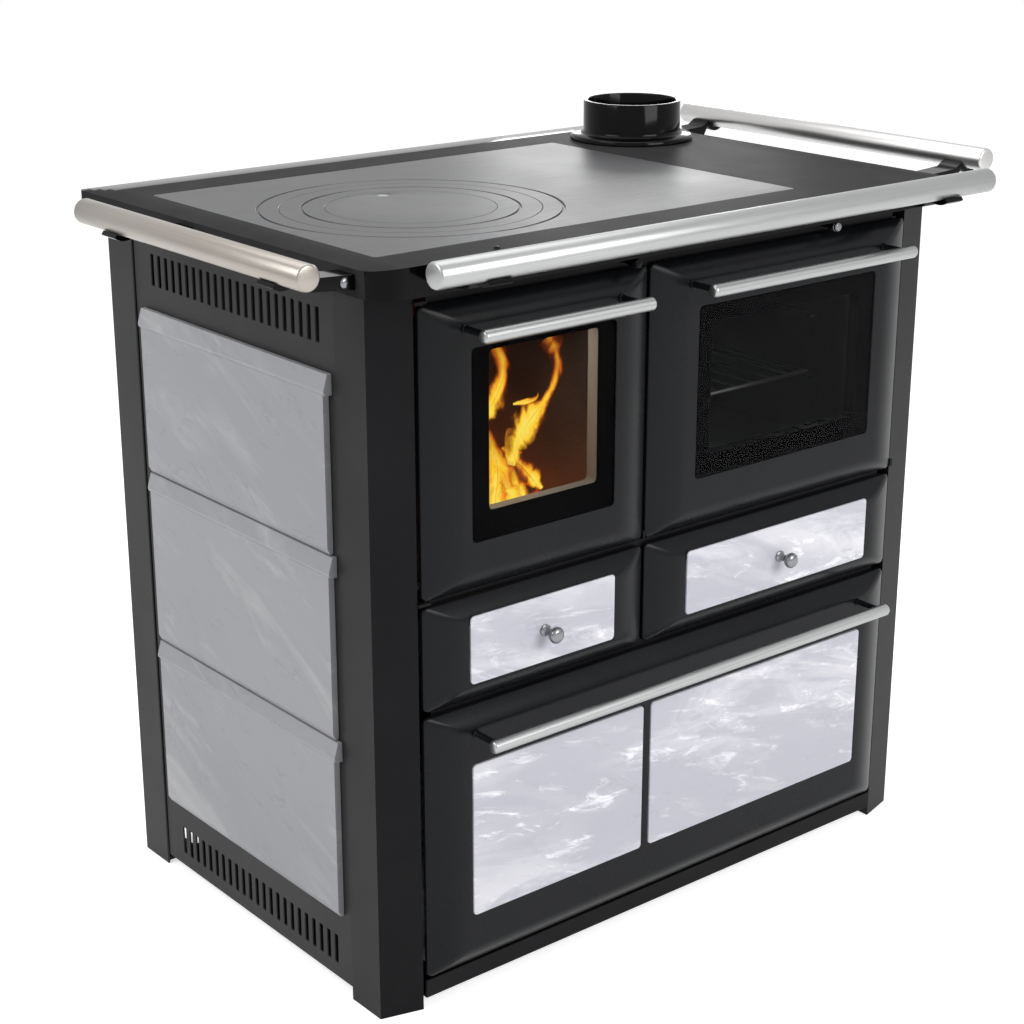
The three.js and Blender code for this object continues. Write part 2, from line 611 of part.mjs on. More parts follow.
// A blind pocket in the face, for a tile or a pane.
function pocket(x, z, depth, clearance = 0.6) {
  const shape = roundedRect([x[0] - clearance, x[1] + clearance], [z[0] - clearance, z[1] + clearance], 5);
  return prism(shape, 'y', FACE_Y - 5, FACE_Y + depth, 3);
}

function plate(x, z, r, y) {
  return prism(roundedRect(x, z, r), 'y', y[0], y[1], 3);
}

// A bar on two stand-offs, one at each end.
function barHandle(x, z) {
  const footY = FACE_Y - GAP;
  const inset = 9;
  const bar = rod('x', HANDLE_R, ...x, [HANDLE_Y, z], 20);
  const feet = [x[0] + inset, x[1] - inset].map((footX) => rod('y', 5, HANDLE_Y, footY, [footX, z], 12));
  return fuse(bar, ...feet);
}

function knob(x, z) {
  const profile = [[0, 0], [7, 0], [7, 2], [4, 4], [4, 11], [8, 15], [9.5, 19], [8.5, 22.5], [5, 24.5], [0, 25]];
  const turnedKnob = new THREE.LatheGeometry(profile.map(([r, h]) => new THREE.Vector2(r, h)), 14);
  return turnedKnob.rotateX(Math.PI).translate(x, FACE_Y - TILE_STAND - GAP, z);
}

function tray(x, y, z) {
  const hollow = box(shrink(x, TRAY_WALL), shrink(y, TRAY_WALL), [z[0] + TRAY_WALL, z[1] + 1]);
  return cut(box(x, y, z), hollow);
}

const TILE_STAND = 1.5;             // a front tile stands this far out of its pocket
const tileY = [FACE_Y - TILE_STAND, FACE_Y - TILE_STAND + TILE_THICK];
const tileDepth = TILE_THICK - TILE_STAND + GAP;
const paneY = [FACE_Y - 1, FACE_Y - 1 + GLASS_THICK];
const paneDepth = GLASS_THICK - 1 + GAP;
const trayFront = FRONT_BACK_Y + GAP;

function doorFrame(x, pane, opening, knuckles) {
  const front = raisedFront(x, DOOR_Z);
  const through = plate(opening.x, opening.z, 6, [FACE_Y - 2, FRONT_BACK_Y + 1]);
  const bodies = knuckles.map(([axis, from, to, at]) => rod(axis, KNUCKLE_R, from, to, at, 12));
  const bores = knuckles.map(([axis, from, to, at, open]) => {
    const reach = open > 0 ? [to - PIN_DEPTH - 2, to + 1] : [from - 1, from + PIN_DEPTH + 2];
    return rod(axis, PIN_R + GAP + 0.1, ...reach, at, 12);
  });
  return cut(fuse(front, ...bodies), pocket(pane.x, pane.z, paneDepth), through, ...bores);
}

// firebox door, hinged at its left edge
add('firebox_door_frame', doorFrame([FRONTS_LEFT, FIREBOX_RIGHT], FIREBOX_GLASS, FIREBOX_WINDOW, [
  ['z', DOOR_Z[0], DOOR_Z[0] + KNUCKLE_LENGTH, FIREBOX_AXIS, -1],
  ['z', DOOR_Z[1] - KNUCKLE_LENGTH, DOOR_Z[1], FIREBOX_AXIS, 1],
]), enamel);
add('firebox_glass', plate(FIREBOX_GLASS.x, FIREBOX_GLASS.z, 5, paneY), glass);
add('firebox_handle', barHandle([-329, -96], DOOR_HANDLE_Z), steel);

// oven door, hinged along its lower edge
add('oven_door_frame', doorFrame([OVEN_LEFT, FRONTS_RIGHT], OVEN_GLASS, OVEN_WINDOW, [
  ['x', OVEN_LEFT, OVEN_LEFT + KNUCKLE_LENGTH, OVEN_AXIS, -1],
  ['x', FRONTS_RIGHT - KNUCKLE_LENGTH, FRONTS_RIGHT, OVEN_AXIS, 1],
]), enamel);
add('oven_glass', plate(OVEN_GLASS.x, OVEN_GLASS.z, 5, paneY), glass);
add('oven_handle', barHandle([-8, 327], DOOR_HANDLE_Z), steel);

function drawer(name, x, z, tiles, trayX, trayY, trayZ) {
  const pockets = tiles.map((tile) => pocket(tile.x, tile.z, tileDepth));
  add(`${name}_drawer_front`, cut(raisedFront(x, z), ...pockets), enamel);
  for (const tile of tiles) {
    add(`${name}_drawer_tile${tile.suffix}`, plate(tile.x, tile.z, 5, tileY), paleStone);
  }
  add(`${name}_drawer_tray`, tray(trayX, trayY, trayZ), bareSteel);
}

const smallTrayZ = SHELF_Z + SHEET + GAP;
drawer('ash', [FRONTS_LEFT, FIREBOX_RIGHT], DRAWER_Z, [{ suffix: '', x: ASH_TILE_X, z: SMALL_TILE_Z }],
  [-348, -74], [trayFront, FRONT + 400], [smallTrayZ, 460]);
add('ash_drawer_knob', knob((ASH_TILE_X[0] + ASH_TILE_X[1]) / 2, KNOB_Z), steel);

drawer('warming', [OVEN_LEFT, FRONTS_RIGHT], DRAWER_Z, [{ suffix: '', x: WARMING_TILE_X, z: SMALL_TILE_Z }],
  [-32, 348], [trayFront, FRONT + 420], [smallTrayZ, 425]);
add('warming_drawer_knob', knob((WARMING_TILE_X[0] + WARMING_TILE_X[1]) / 2, KNOB_Z), steel);

drawer('wood', [FRONTS_LEFT, FRONTS_RIGHT], WOOD_Z, [
  { suffix: '_left', x: WOOD_TILE_X[0], z: WOOD_TILE_Z },
  { suffix: '_right', x: WOOD_TILE_X[1], z: WOOD_TILE_Z },
], [-352, 352], [trayFront, FRONT + 455], [WOOD_Z[0] + 2, 300]);
add('wood_drawer_handle', barHandle([-318, 317], WOOD_HANDLE_Z), steel);

// Draught controls above the doors: a knob on a rod that carries a shutter plate inside.
function draughtControl(x, headR, rodEnd, shutter) {
  const y = FRONT - 42;
  const head = [[0, 0], [headR - 1, 0], [headR, 1.2], [headR, 13], [headR - 2, 15], [0, 15]];
  const knobHead = new THREE.LatheGeometry(head.map(([r, h]) => new THREE.Vector2(r, h)), 16);
  return fuse(
    knobHead.translate(x, y, CONTROL_Z),
    rod('y', 3, y + 10, rodEnd, [x, CONTROL_Z], 12),
    box([x - shutter.half, x + shutter.half], [rodEnd - 1, rodEnd + 2], shutter.z));
}
add('air_control', draughtControl(AIR_X, 5.3, FRONT + 60, { half: 30, z: [806, 838] }), glossBlack);
add('smoke_bypass_control', draughtControl(BYPASS_X, 5.3, FRONT + 240, { half: 50, z: [792, 842] }), steel);

export default stove;
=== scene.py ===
"""Wood-burning cookstove: materials, fine surfaces, fire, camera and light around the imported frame."""

import json
import math

import bmesh
import bpy
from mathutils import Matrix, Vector, noise

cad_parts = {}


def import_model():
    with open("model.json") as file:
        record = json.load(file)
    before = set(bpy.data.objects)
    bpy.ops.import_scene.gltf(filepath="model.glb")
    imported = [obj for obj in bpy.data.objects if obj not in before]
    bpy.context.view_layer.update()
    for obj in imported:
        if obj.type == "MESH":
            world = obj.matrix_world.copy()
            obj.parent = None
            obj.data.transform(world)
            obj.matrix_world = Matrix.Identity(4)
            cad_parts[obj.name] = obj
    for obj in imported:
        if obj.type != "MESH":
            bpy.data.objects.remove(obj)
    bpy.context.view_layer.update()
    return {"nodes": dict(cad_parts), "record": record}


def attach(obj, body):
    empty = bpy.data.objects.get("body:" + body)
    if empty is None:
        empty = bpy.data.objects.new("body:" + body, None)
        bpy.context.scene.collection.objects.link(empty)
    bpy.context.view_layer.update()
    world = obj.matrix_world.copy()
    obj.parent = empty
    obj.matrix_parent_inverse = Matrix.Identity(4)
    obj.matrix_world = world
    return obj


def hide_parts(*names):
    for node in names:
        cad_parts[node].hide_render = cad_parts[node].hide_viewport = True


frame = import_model()

MM = 0.001
TAU = math.tau
ON_AXIS = 1e-6

# ------------------------------------------------------------------ sizes shared with the frame, in mm
FRONT = -220.0           # the outer front corners of the posts
FRONT_BACK_Y = FRONT - 12
FRONT_EDGE_Y = FRONT - 16
FACE_Y = FRONT - 31      # the flat middle of every door and drawer
BEVEL_SIDE = 48.0
BEVEL_END = 26.0
HOB_Z = 860.0
LEFT_X = (-369.0, -55.0)
RIGHT_X = (-51.0, 369.0)
WIDE_X = (-369.0, 369.0)
DOOR_Z = (493.0, 813.0)
DRAWER_Z = (365.0, 486.0)
WOOD_Z = (40.0, 358.0)


# ------------------------------------------------------------------ node helpers
class Shader:
    """A material with a Principled shader and short ways to add what feeds it."""

    def __init__(self, name):
        self.material = bpy.data.materials.new(name)
        self.material.use_nodes = True
        self.tree = self.material.node_tree
        self.tree.nodes.clear()
        self.output = self.node("ShaderNodeOutputMaterial")
        self.bsdf = self.node("ShaderNodeBsdfPrincipled")
        self.link(self.bsdf.outputs[0], self.output.inputs["Surface"])
        self.place = self.node("ShaderNodeTexCoord").outputs["Object"]

    def node(self, kind, **settings):
        made = self.tree.nodes.new(kind)
        for key, value in settings.items():
            setattr(made, key, value)
        return made

    def link(self, source, target):
        self.tree.links.new(source, target)

    def set(self, **values):
        for key, value in values.items():
            self.bsdf.inputs[key.replace("_", " ")].default_value = value

    def stretched(self, scale, turn=(0, 0, 0)):
        """Object coordinates turned first and then scaled, so a pattern can be drawn out at a slant."""
        mapping = self.node("ShaderNodeMapping", vector_type="TEXTURE")
        mapping.inputs["Rotation"].default_value = turn
        mapping.inputs["Scale"].default_value = tuple(1.0 / each for each in scale)
        self.link(self.place, mapping.inputs["Vector"])
        return mapping.outputs["Vector"]

    def noise(self, scale, detail=4.0, rough=0.55, distortion=0.0, where=None):
        made = self.node("ShaderNodeTexNoise")
        made.inputs["Scale"].default_value = scale
        made.inputs["Detail"].default_value = detail
        made.inputs["Roughness"].default_value = rough
        made.inputs["Distortion"].default_value = distortion
        self.link(where or self.place, made.inputs["Vector"])
        return made.outputs["Fac"]

    def ramp(self, source, stops):
        made = self.node("ShaderNodeValToRGB")
        elements = made.color_ramp.elements
        while len(elements) < len(stops):
            elements.new(0.5)
        for element, (position, colour) in zip(elements, stops):
            element.position = position
            element.color = rgba(colour)
        self.link(source, made.inputs["Fac"])
        return made.outputs["Color"]

    def range(self, source, low, high, from_low=0.0, from_high=1.0):
        made = self.node("ShaderNodeMapRange")
        ends = {"From Min": from_low, "From Max": from_high, "To Min": low, "To Max": high}
        for key, value in ends.items():
            made.inputs[key].default_value = value
        self.link(source, made.inputs["Value"])
        return made.outputs["Result"]

    def math(self, operation, a, b=None):
        made = self.node("ShaderNodeMath", operation=operation)
        for socket, value in zip(made.inputs, (a, b)):
            if value is None:
                continue
            if isinstance(value, (int, float)):
                socket.default_value = value
            else:
                self.link(value, socket)
        return made.outputs[0]

    def mix(self, factor, a, b):
        made = self.node("ShaderNodeMix", data_type="RGBA")
        for key, value in (("Factor", factor), ("A", a), ("B", b)):
            socket = [s for s in made.inputs if s.name == key and s.enabled][0]
            if isinstance(value, (int, float)):
                socket.default_value = value
            elif isinstance(value, tuple):
                socket.default_value = rgba(value)
            else:
                self.link(value, socket)
        return [s for s in made.outputs if s.enabled][0]

    def bump(self, height, strength, distance):
        made = self.node("ShaderNodeBump")
        made.inputs["Strength"].default_value = strength
        made.inputs["Distance"].default_value = distance
        self.link(height, made.inputs["Height"])
        normal = self.bsdf.inputs["Normal"]
        if normal.is_linked:
            self.link(normal.links[0].from_socket, made.inputs["Normal"])
        self.link(made.outputs["Normal"], normal)


def linear(value):
    """One 0-255 display value to the renderer's linear one."""
    value /= 255.0
    return value / 12.92 if value <= 0.04045 else ((value + 0.055) / 1.055) ** 2.4


def rgba(colour):
    """0-255 display values to the renderer's linear ones."""
    if isinstance(colour, (int, float)):
        colour = (colour, colour, colour)
    return (linear(colour[0]), linear(colour[1]), linear(colour[2]), 1.0)


# ------------------------------------------------------------------ materials
def enamel(name, dark, light, rough, specular, grain=900.0, bump=0.04):
    """Baked enamel: slight mottling, a fine orange-peel skin and a little dust in the gloss."""
    s = Shader(name)
    s.link(s.ramp(s.noise(6.0, 5.0), [(0.35, dark), (0.7, light)]), s.bsdf.inputs["Base Color"])
    s.link(s.range(s.noise(14.0, 6.0, 0.6), rough - 0.05, rough + 0.07), s.bsdf.inputs["Roughness"])
    s.set(Specular_IOR_Level=specular)
    s.bump(s.noise(grain, 2.0), bump, 0.0006)
    return s.material


def ground_iron():
    """The cooking plate: ground flat, with fine marks along it and faint bluish heat tints."""
    s = Shader("ground_iron")
    marks = s.noise(1.0, 5.0, 0.7, 0.0, s.stretched((14.0, 900.0, 900.0)))
    patches = s.noise(4.0, 4.0, 0.6)
    colour = s.mix(s.range(patches, 0.0, 1.0, 0.35, 0.7), (74, 75, 77), (84, 84, 85))
    colour = s.mix(s.range(marks, 0.0, 0.35, 0.4, 0.75), colour, (61, 62, 64))
    s.link(colour, s.bsdf.inputs["Base Color"])
    s.link(s.range(s.math("ADD", marks, patches), 0.33, 0.52, 0.6, 1.4), s.bsdf.inputs["Roughness"])
    s.set(Metallic=0.75)
    s.bump(marks, 0.12, 0.0003)
    return s.material


def brushed(name, colour, along, rough):
    """Brushed stainless bar: hairlines that run along the bar."""
    s = Shader(name)
    fine, drawn_out = 1500.0, 9.0
    scale = tuple(drawn_out if axis == along else fine for axis in "xyz")
    hair = s.noise(1.0, 4.0, 0.65, 0.0, s.stretched(scale))
    bright = tuple(min(255, c + 14) for c in colour)
    s.link(s.mix(s.range(hair, 0.0, 1.0, 0.3, 0.7), colour, bright), s.bsdf.inputs["Base Color"])
    s.link(s.range(hair, rough - 0.05, rough + 0.1), s.bsdf.inputs["Roughness"])
    s.set(Metallic=1.0)
    s.bump(hair, 0.08, 0.0002)
    return s.material


def stone(name, base, cloud, deep, scale, turn, cover, bright):
    """Honed soapstone: soft clouds drawn out along the bed, brighter dabs in them, a few grey veins."""
    s = Shader(name)
    bed = s.stretched(scale, turn)
    clouds = s.noise(1.0, 6.0, 0.62, 0.9, bed)
    dabs = s.noise(2.6, 7.0, 0.68, 1.3, bed)
    drift = s.noise(0.42, 3.0, 0.5, 0.4, bed)
    veil = s.math("MULTIPLY", s.range(clouds, 0.0, 1.0, cover, cover + 0.12),
                  s.range(drift, 0.15, 1.0, 0.38, 0.6))
    colour = s.mix(s.range(drift, 0.0, 1.0, 0.3, 0.7), deep, base)
    colour = s.mix(veil, colour, cloud)
    lit = s.math("MULTIPLY", s.range(dabs, 0.0, 1.0, 0.54, 0.64),
                 s.range(clouds, 0.0, 1.0, cover - 0.06, cover + 0.1))
    colour = s.mix(s.math("MULTIPLY", lit, bright), colour, tuple(min(250, c + 16) for c in cloud))
    crossing = s.math("ABSOLUTE", s.math("SUBTRACT", s.noise(1.3, 5.0, 0.6, 1.8, bed), 0.5))
    thread = s.math("SUBTRACT", 1.0, s.range(crossing, 0.0, 1.0, 0.0, 0.012))
    veins = s.math("MULTIPLY", thread, s.range(dabs, 0.0, 0.45, 0.45, 0.6))
    colour = s.mix(veins, colour, tuple(c - 30 for c in deep))
    s.link(colour, s.bsdf.inputs["Base Color"])
    s.link(s.range(clouds, 0.32, 0.46), s.bsdf.inputs["Roughness"])
    s.set(Specular_IOR_Level=0.3)
    s.bump(s.noise(300.0, 4.0), 0.06, 0.0005)
    s.bump(clouds, 0.06, 0.002)
    return s.material


def firebrick_material():
    """Vermiculite lining: buff, porous, darker towards the top."""
    s = Shader("firebrick_darker_up")
    height = s.node("ShaderNodeSeparateXYZ")
    s.link(s.place, height.inputs[0])
    darker_up = s.math("ADD", s.range(height.outputs["Z"], 0.0, 0.75, 0.53, 0.78),
                  s.range(s.noise(9.0, 6.0), -0.3, 0.45))
    s.link(s.ramp(darker_up, [(0.1, (108, 94, 80)), (0.5, (70, 60, 51)), (1.0, (36, 32, 30))]),
           s.bsdf.inputs["Base Color"])
    s.set(Roughness=0.92, Specular_IOR_Level=0.15)
    s.bump(s.noise(140.0, 6.0, 0.7), 0.35, 0.003)
    return s.material


def steel_sheet(name, dark, light, rough=0.42):
    """Bare sheet or iron: a dull metal with soft patches."""
    s = Shader(name)
    s.link(s.ramp(s.noise(5.0, 6.0, 0.6), [(0.3, dark), (0.7, light)]), s.bsdf.inputs["Base Color"])
    s.link(s.range(s.noise(30.0, 5.0), rough - 0.08, rough + 0.12), s.bsdf.inputs["Roughness"])
    s.set(Metallic=0.85)
    s.bump(s.noise(400.0, 3.0), 0.05, 0.0004)
    return s.material


def pane_material(name, tint, veil):
    """Heat-proof glass: a thin pane with a soft sheen that holds back a little of what passes."""
    s = Shader(name)
    s.set(IOR=1.45, Specular_IOR_Level=0.3)
    haze = s.noise(3.0, 3.0)
    s.link(s.ramp(haze, [(0.3, tuple(c - 3 for c in tint)), (0.7, tint)]), s.bsdf.inputs["Base Color"])
    s.link(s.range(s.noise(7.0, 4.0), 0.3, 0.38), s.bsdf.inputs["Roughness"])
    s.link(s.range(haze, veil, veil + 0.04), s.bsdf.inputs["Alpha"])
    return s.material


def ember_material():
    """Char with glowing cracks."""
    s = Shader("embers")
    cells = s.node("ShaderNodeTexVoronoi", feature="DISTANCE_TO_EDGE")
    cells.inputs["Scale"].default_value = 60.0
    s.link(s.place, cells.inputs["Vector"])
    heat = s.math("MULTIPLY", s.range(cells.outputs["Distance"], 1.0, 0.0, 0.0, 0.16),
                  s.range(s.noise(16.0, 4.0), 0.0, 1.0, 0.38, 0.62))
    s.link(s.ramp(s.noise(50.0, 5.0), [(0.3, (26, 20, 17)), (0.7, (82, 66, 56))]),
           s.bsdf.inputs["Base Color"])
    s.link(s.ramp(heat, [(0.0, (0, 0, 0)), (0.3, (190, 48, 6)), (0.7, (255, 150, 30)),
                         (1.0, (255, 214, 90))]), s.bsdf.inputs["Emission Color"])
    s.set(Emission_Strength=2.2, Roughness=0.95)
    s.bump(s.noise(90.0, 6.0, 0.7), 0.6, 0.004)
    return s.material


def bark_material():
    """Burning wood: charred bark, orange where it glows."""
    s = Shader("burning_wood")
    grain = s.noise(1.0, 6.0, 0.7, 0.6, s.stretched((20.0, 20.0, 90.0)))
    glow = s.math("MULTIPLY", s.range(grain, 1.0, 0.0, 0.36, 0.52),
                  s.range(s.noise(12.0, 4.0), 0.0, 1.0, 0.35, 0.6))
    s.link(s.ramp(grain, [(0.3, (38, 27, 21)), (0.55, (94, 62, 40)), (0.8, (138, 98, 64))]),
           s.bsdf.inputs["Base Color"])
    s.link(s.ramp(glow, [(0.0, (0, 0, 0)), (0.4, (214, 70, 10)), (1.0, (255, 168, 48))]),
           s.bsdf.inputs["Emission Color"])
    s.set(Emission_Strength=1.6, Roughness=0.9)
    s.bump(grain, 0.7, 0.005)
    return s.material


def flame_material():
    """A sheet of flame: yellow low down, orange at the rim and the tip, torn along its sides."""
    s = Shader("flame")
    s.tree.nodes.remove(s.bsdf)
    parts = s.node("ShaderNodeSeparateXYZ")
    s.link(s.node("ShaderNodeUVMap", uv_map="sheet").outputs["UV"], parts.inputs[0])
    middle = s.math("ABSOLUTE", s.math("SUBTRACT", s.math("MULTIPLY", parts.outputs["X"], 2.0), 1.0))
    tear = s.noise(1.0, 5.0, 0.62, 1.0, s.stretched((46.0, 46.0, 20.0)))
    body = s.math("ADD", s.math("SUBTRACT", 1.0, middle), s.range(tear, -0.42, 0.32, 0.3, 0.7))
    heat = s.math("SUBTRACT", s.math("ADD", body, 0.3), s.math("MULTIPLY", parts.outputs["Y"], 0.86))
    colour = s.ramp(heat, [(0.0, (120, 44, 10)), (0.2, (196, 92, 22)), (0.42, (240, 152, 40)),
                           (0.68, (255, 206, 50)), (1.0, (255, 226, 92))])
    glow = s.node("ShaderNodeEmission")
    glow.inputs["Strength"].default_value = 1.1
    s.link(colour, glow.inputs["Color"])
    mixed = s.node("ShaderNodeMixShader")
    fade = s.range(parts.outputs["Y"], 1.0, 0.45, 0.45, 1.0)
    s.link(s.math("MULTIPLY", s.range(body, 0.0, 1.0, 0.1, 0.55), fade), mixed.inputs[0])
    s.link(s.node("ShaderNodeBsdfTransparent").outputs[0], mixed.inputs[1])
    s.link(glow.outputs[0], mixed.inputs[2])
    s.link(mixed.outputs[0], s.output.inputs["Surface"])
    return s.material


def rope_material():
    """Woven glass-fibre seal."""
    s = Shader("rope_seal")
    weave = s.node("ShaderNodeTexWave", wave_type="BANDS", bands_direction="DIAGONAL")
    weave.inputs["Scale"].default_value = 160.0
    weave.inputs["Distortion"].default_value = 1.5
    s.link(s.place, weave.inputs["Vector"])
    s.link(s.ramp(weave.outputs["Fac"], [(0.2, (52, 52, 54)), (0.8, (104, 104, 106))]),
           s.bsdf.inputs["Base Color"])
    s.set(Roughness=0.95, Specular_IOR_Level=0.1)
    s.bump(weave.outputs["Fac"], 0.6, 0.002)
    return s.material


ENAMEL = enamel("charcoal_enamel", (14, 15, 17), (19, 20, 23), 0.27, 0.13)
POST_ENAMEL = enamel("post_enamel", (16, 16, 18), (22, 22, 24), 0.34, 0.08)
# A lighter copy of the post enamel for the posts' side faces: painted light.
POST_SIDE_PAINTED_LIGHT = enamel("post_side_painted_light", (30, 30, 31), (38, 38, 39), 0.42, 0.12)
SIDE_STEEL = enamel("side_enamel", (40, 40, 41), (50, 50, 51), 0.46, 0.13)
TOP_ENAMEL = enamel("top_enamel", (44, 44, 45), (52, 52, 53), 0.45, 0.008)
TOP_MARGIN = enamel("top_rear_margin", (44, 44, 45), (52, 52, 53), 0.1, 0.04)
GLOSS_BLACK = enamel("gloss_black", (3, 3, 4), (6, 6, 7), 0.1, 0.1, 500.0, 0.02)
BORDER_BLACK = enamel("printed_border", (1, 1, 2), (3, 3, 4), 0.4, 0.0, 900.0, 0.01)
IRON = ground_iron()
DARK_IRON = steel_sheet("raw_iron", (60, 58, 56), (84, 82, 80), 0.6)
BAR_X = brushed("brushed_bar_x", (156, 157, 157), "x", 0.34)
# The left rail's steel, darker and warmer than the front rail's: painted shade.
BAR_LEFT_SHADED = brushed("brushed_bar_left_painted_shade", (150, 144, 137), "y", 0.32)
# The right rail's steel, lighter than the front rail's: painted light.
BAR_RIGHT_LIT = brushed("brushed_bar_right_painted_light", (184, 183, 182), "y", 0.32)
KNOB_STEEL = brushed("knob_steel", (120, 121, 124), "y", 0.22)
SHEET_STEEL = steel_sheet("tray_steel", (112, 113, 115), (138, 139, 141))
OVEN_STEEL = steel_sheet("oven_steel", (94, 95, 97), (114, 115, 117), 0.4)
REVEAL = enamel("window_reveal", (120, 114, 106), (136, 130, 121), 0.5, 0.3)
# Soapstone for the side tiles: its darker tone than the front stone is painted shade; its slanting streaks
# are the stone's own.
SIDE_STONE_SHADED = stone("side_stone", (152, 152, 155), (170, 170, 171), (145, 145, 149),
                   (5.0, 3.0, 11.0), (math.radians(25), 0, 0), 0.52, 0.35)
FRONT_STONE = stone("front_stone", (196, 195, 204), (228, 227, 231), (186, 185, 195),
                    (4.5, 6.0, 17.0), (0, math.radians(12), 0), 0.47, 1.0)
FIREBRICK = firebrick_material()
CLEAR_PANE = pane_material("clear_pane", (16, 15, 14), 0.05)
SMOKED_PANE = pane_material("smoked_pane", (16, 16, 18), 0.12)
EMBERS = ember_material()
BARK = bark_material()
FLAME = flame_material()
ROPE = rope_material()


# ------------------------------------------------------------------ mesh helpers
def finish_piece(mesh, name, body, material, replaces=(), slot=None, smooth=33.0):
    """Links a mesh as a piece of the object, riding on its body."""
    piece = bpy.data.objects.new(name, mesh)
    bpy.context.scene.collection.objects.link(piece)
    if mesh.materials:
        mesh.materials.clear()
    for each in material if isinstance(material, (list, tuple)) else [material]:
        mesh.materials.append(each)
    if smooth:
        for polygon in mesh.polygons:
            polygon.use_smooth = True
        mesh.set_sharp_from_angle(angle=math.radians(smooth))
    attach(piece, body)
    if replaces:
        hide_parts(*replaces)
    return piece


def bake_modifiers(piece):
    """Writes a piece's modifiers into its mesh."""
    graph = bpy.context.evaluated_depsgraph_get()
    made = bpy.data.meshes.new_from_object(piece.evaluated_get(graph), preserve_all_data_layers=True,
                                           depsgraph=graph)
    old = piece.data
    piece.modifiers.clear()
    piece.data = made
    bpy.data.meshes.remove(old)


def weighted(piece):
    """Keeps broad flats flat to the eye beside their rounded edges."""
    modifier = piece.modifiers.new("weighted", "WEIGHTED_NORMAL")
    modifier.keep_sharp = True
    modifier.weight = 80
    bake_modifiers(piece)


BODIES = frame["record"]["behaviour"]["bodies"]
BODY_OF = {node: body for body, nodes in BODIES.items() for node in nodes}
SLOT_OF = {part["node"]: part["material_slot"] for part in frame["record"]["subparts"]}


def softened(node, material, width=1.0, angle=38.0, segments=2, shape=None, choose=None):
    """A finer copy of a node: the same form with its hard edges rounded over."""
    mesh = frame["nodes"][node].data.copy()
    bm = bmesh.new()
    bm.from_mesh(mesh)
    bmesh.ops.remove_doubles(bm, verts=bm.verts, dist=1e-5)
    bmesh.ops.dissolve_limit(bm, angle_limit=math.radians(0.4), verts=bm.verts, edges=bm.edges)
    if shape:
        shape(bm)
    bm.to_mesh(mesh)
    bm.free()
    piece = finish_piece(mesh, "soft_" + node, BODY_OF[node], material, [node], SLOT_OF[node], 0)
    bevel = piece.modifiers.new("edges", "BEVEL")
    bevel.width = width * MM
    bevel.segments = segments
    bevel.limit_method = "ANGLE"
    bevel.angle_limit = math.radians(angle)
    bevel.use_clamp_overlap = True
    bevel.miter_outer = "MITER_ARC"
    bake_modifiers(piece)
    for polygon in piece.data.polygons:
        polygon.use_smooth = True
        if choose:
            polygon.material_index = choose(polygon.normal)
    piece.data.set_sharp_from_angle(angle=math.radians(50))
    weighted(piece)


def rounded_loop(u, v, r, steps=8):
    """Points of a rounded rectangle, counter-clockwise."""
    r = max(r, 0.01)
    points = []
    corners = ((u[1] - r, v[0] + r, -0.25), (u[1] - r, v[1] - r, 0.0),
               (u[0] + r, v[1] - r, 0.25), (u[0] + r, v[0] + r, 0.5))
    for cu, cv, start in corners:
        for i in range(steps + 1):
            a = (start + 0.25 * i / steps) * TAU
            points.append((cu + r * math.cos(a), cv + r * math.sin(a)))
    return points


class Skin:
    """A mesh grown from matching rings of points, given in mm."""

    def __init__(self):
        self.bm = bmesh.new()

    def ring(self, points):
        return [self.bm.verts.new(Vector(p) * MM) for p in points]

    def bridge(self, a, b, index=0):
        count = len(a)
        for i in range(count):
            face = self.bm.faces.new((a[i], a[(i + 1) % count], b[(i + 1) % count], b[i]))
            face.material_index = index

    def cap(self, ring, index=0):
        face = self.bm.faces.new(ring)
        face.material_index = index

    def fill(self, rings, index=0):
        """Fills the flat area between an outer ring and the rings inside it."""
        edges = []
        for ring in rings:
            for a, b in zip(ring, ring[1:] + ring[:1]):
                edges.append(self.bm.edges.get((a, b)) or self.bm.edges.new((a, b)))
        made = bmesh.ops.triangle_fill(self.bm, edges=edges, use_beauty=True)
        for face in made["geom"]:
            if isinstance(face, bmesh.types.BMFace):
                face.material_index = index

    def mesh(self, name):
        bmesh.ops.recalc_face_normals(self.bm, faces=self.bm.faces)
        mesh = bpy.data.meshes.new(name)
        self.bm.to_mesh(mesh)
        self.bm.free()
        return mesh


def lathe(profile, centre, axis, segments, name="turned"):
    """Turns a profile of (radius, distance along the axis) round an axis through a centre, in mm."""
    skin = Skin()
    made = []
    for r, h in profile:
        points = []
        for i in range(segments):
            a = TAU * i / segments
            u, v = r * math.cos(a), r * math.sin(a)
            local = {"x": (h, u, v), "y": (u, h, v), "z": (u, v, h)}[axis]
            points.append(tuple(c + d for c, d in zip(centre, local)))
        made.append(skin.ring(points[:1] if r < ON_AXIS else points))
    for a, b in zip(made, made[1:]):
        if len(a) == 1 and len(b) == 1:
            continue
        if len(a) == 1 or len(b) == 1:
            tip, ring = (a[0], b) if len(a) == 1 else (b[0], a)
            for i in range(segments):
                skin.bm.faces.new((tip, ring[i], ring[(i + 1) % segments]))
        else:
            skin.bridge(a, b)
    return skin.mesh(name)


def joined(meshes, name):
    """One mesh out of several."""
    bm = bmesh.new()
    for mesh in meshes:
        bm.from_mesh(mesh)
        bpy.data.meshes.remove(mesh)
    mesh = bpy.data.meshes.new(name)
    bm.to_mesh(mesh)
    bm.free()
    return mesh


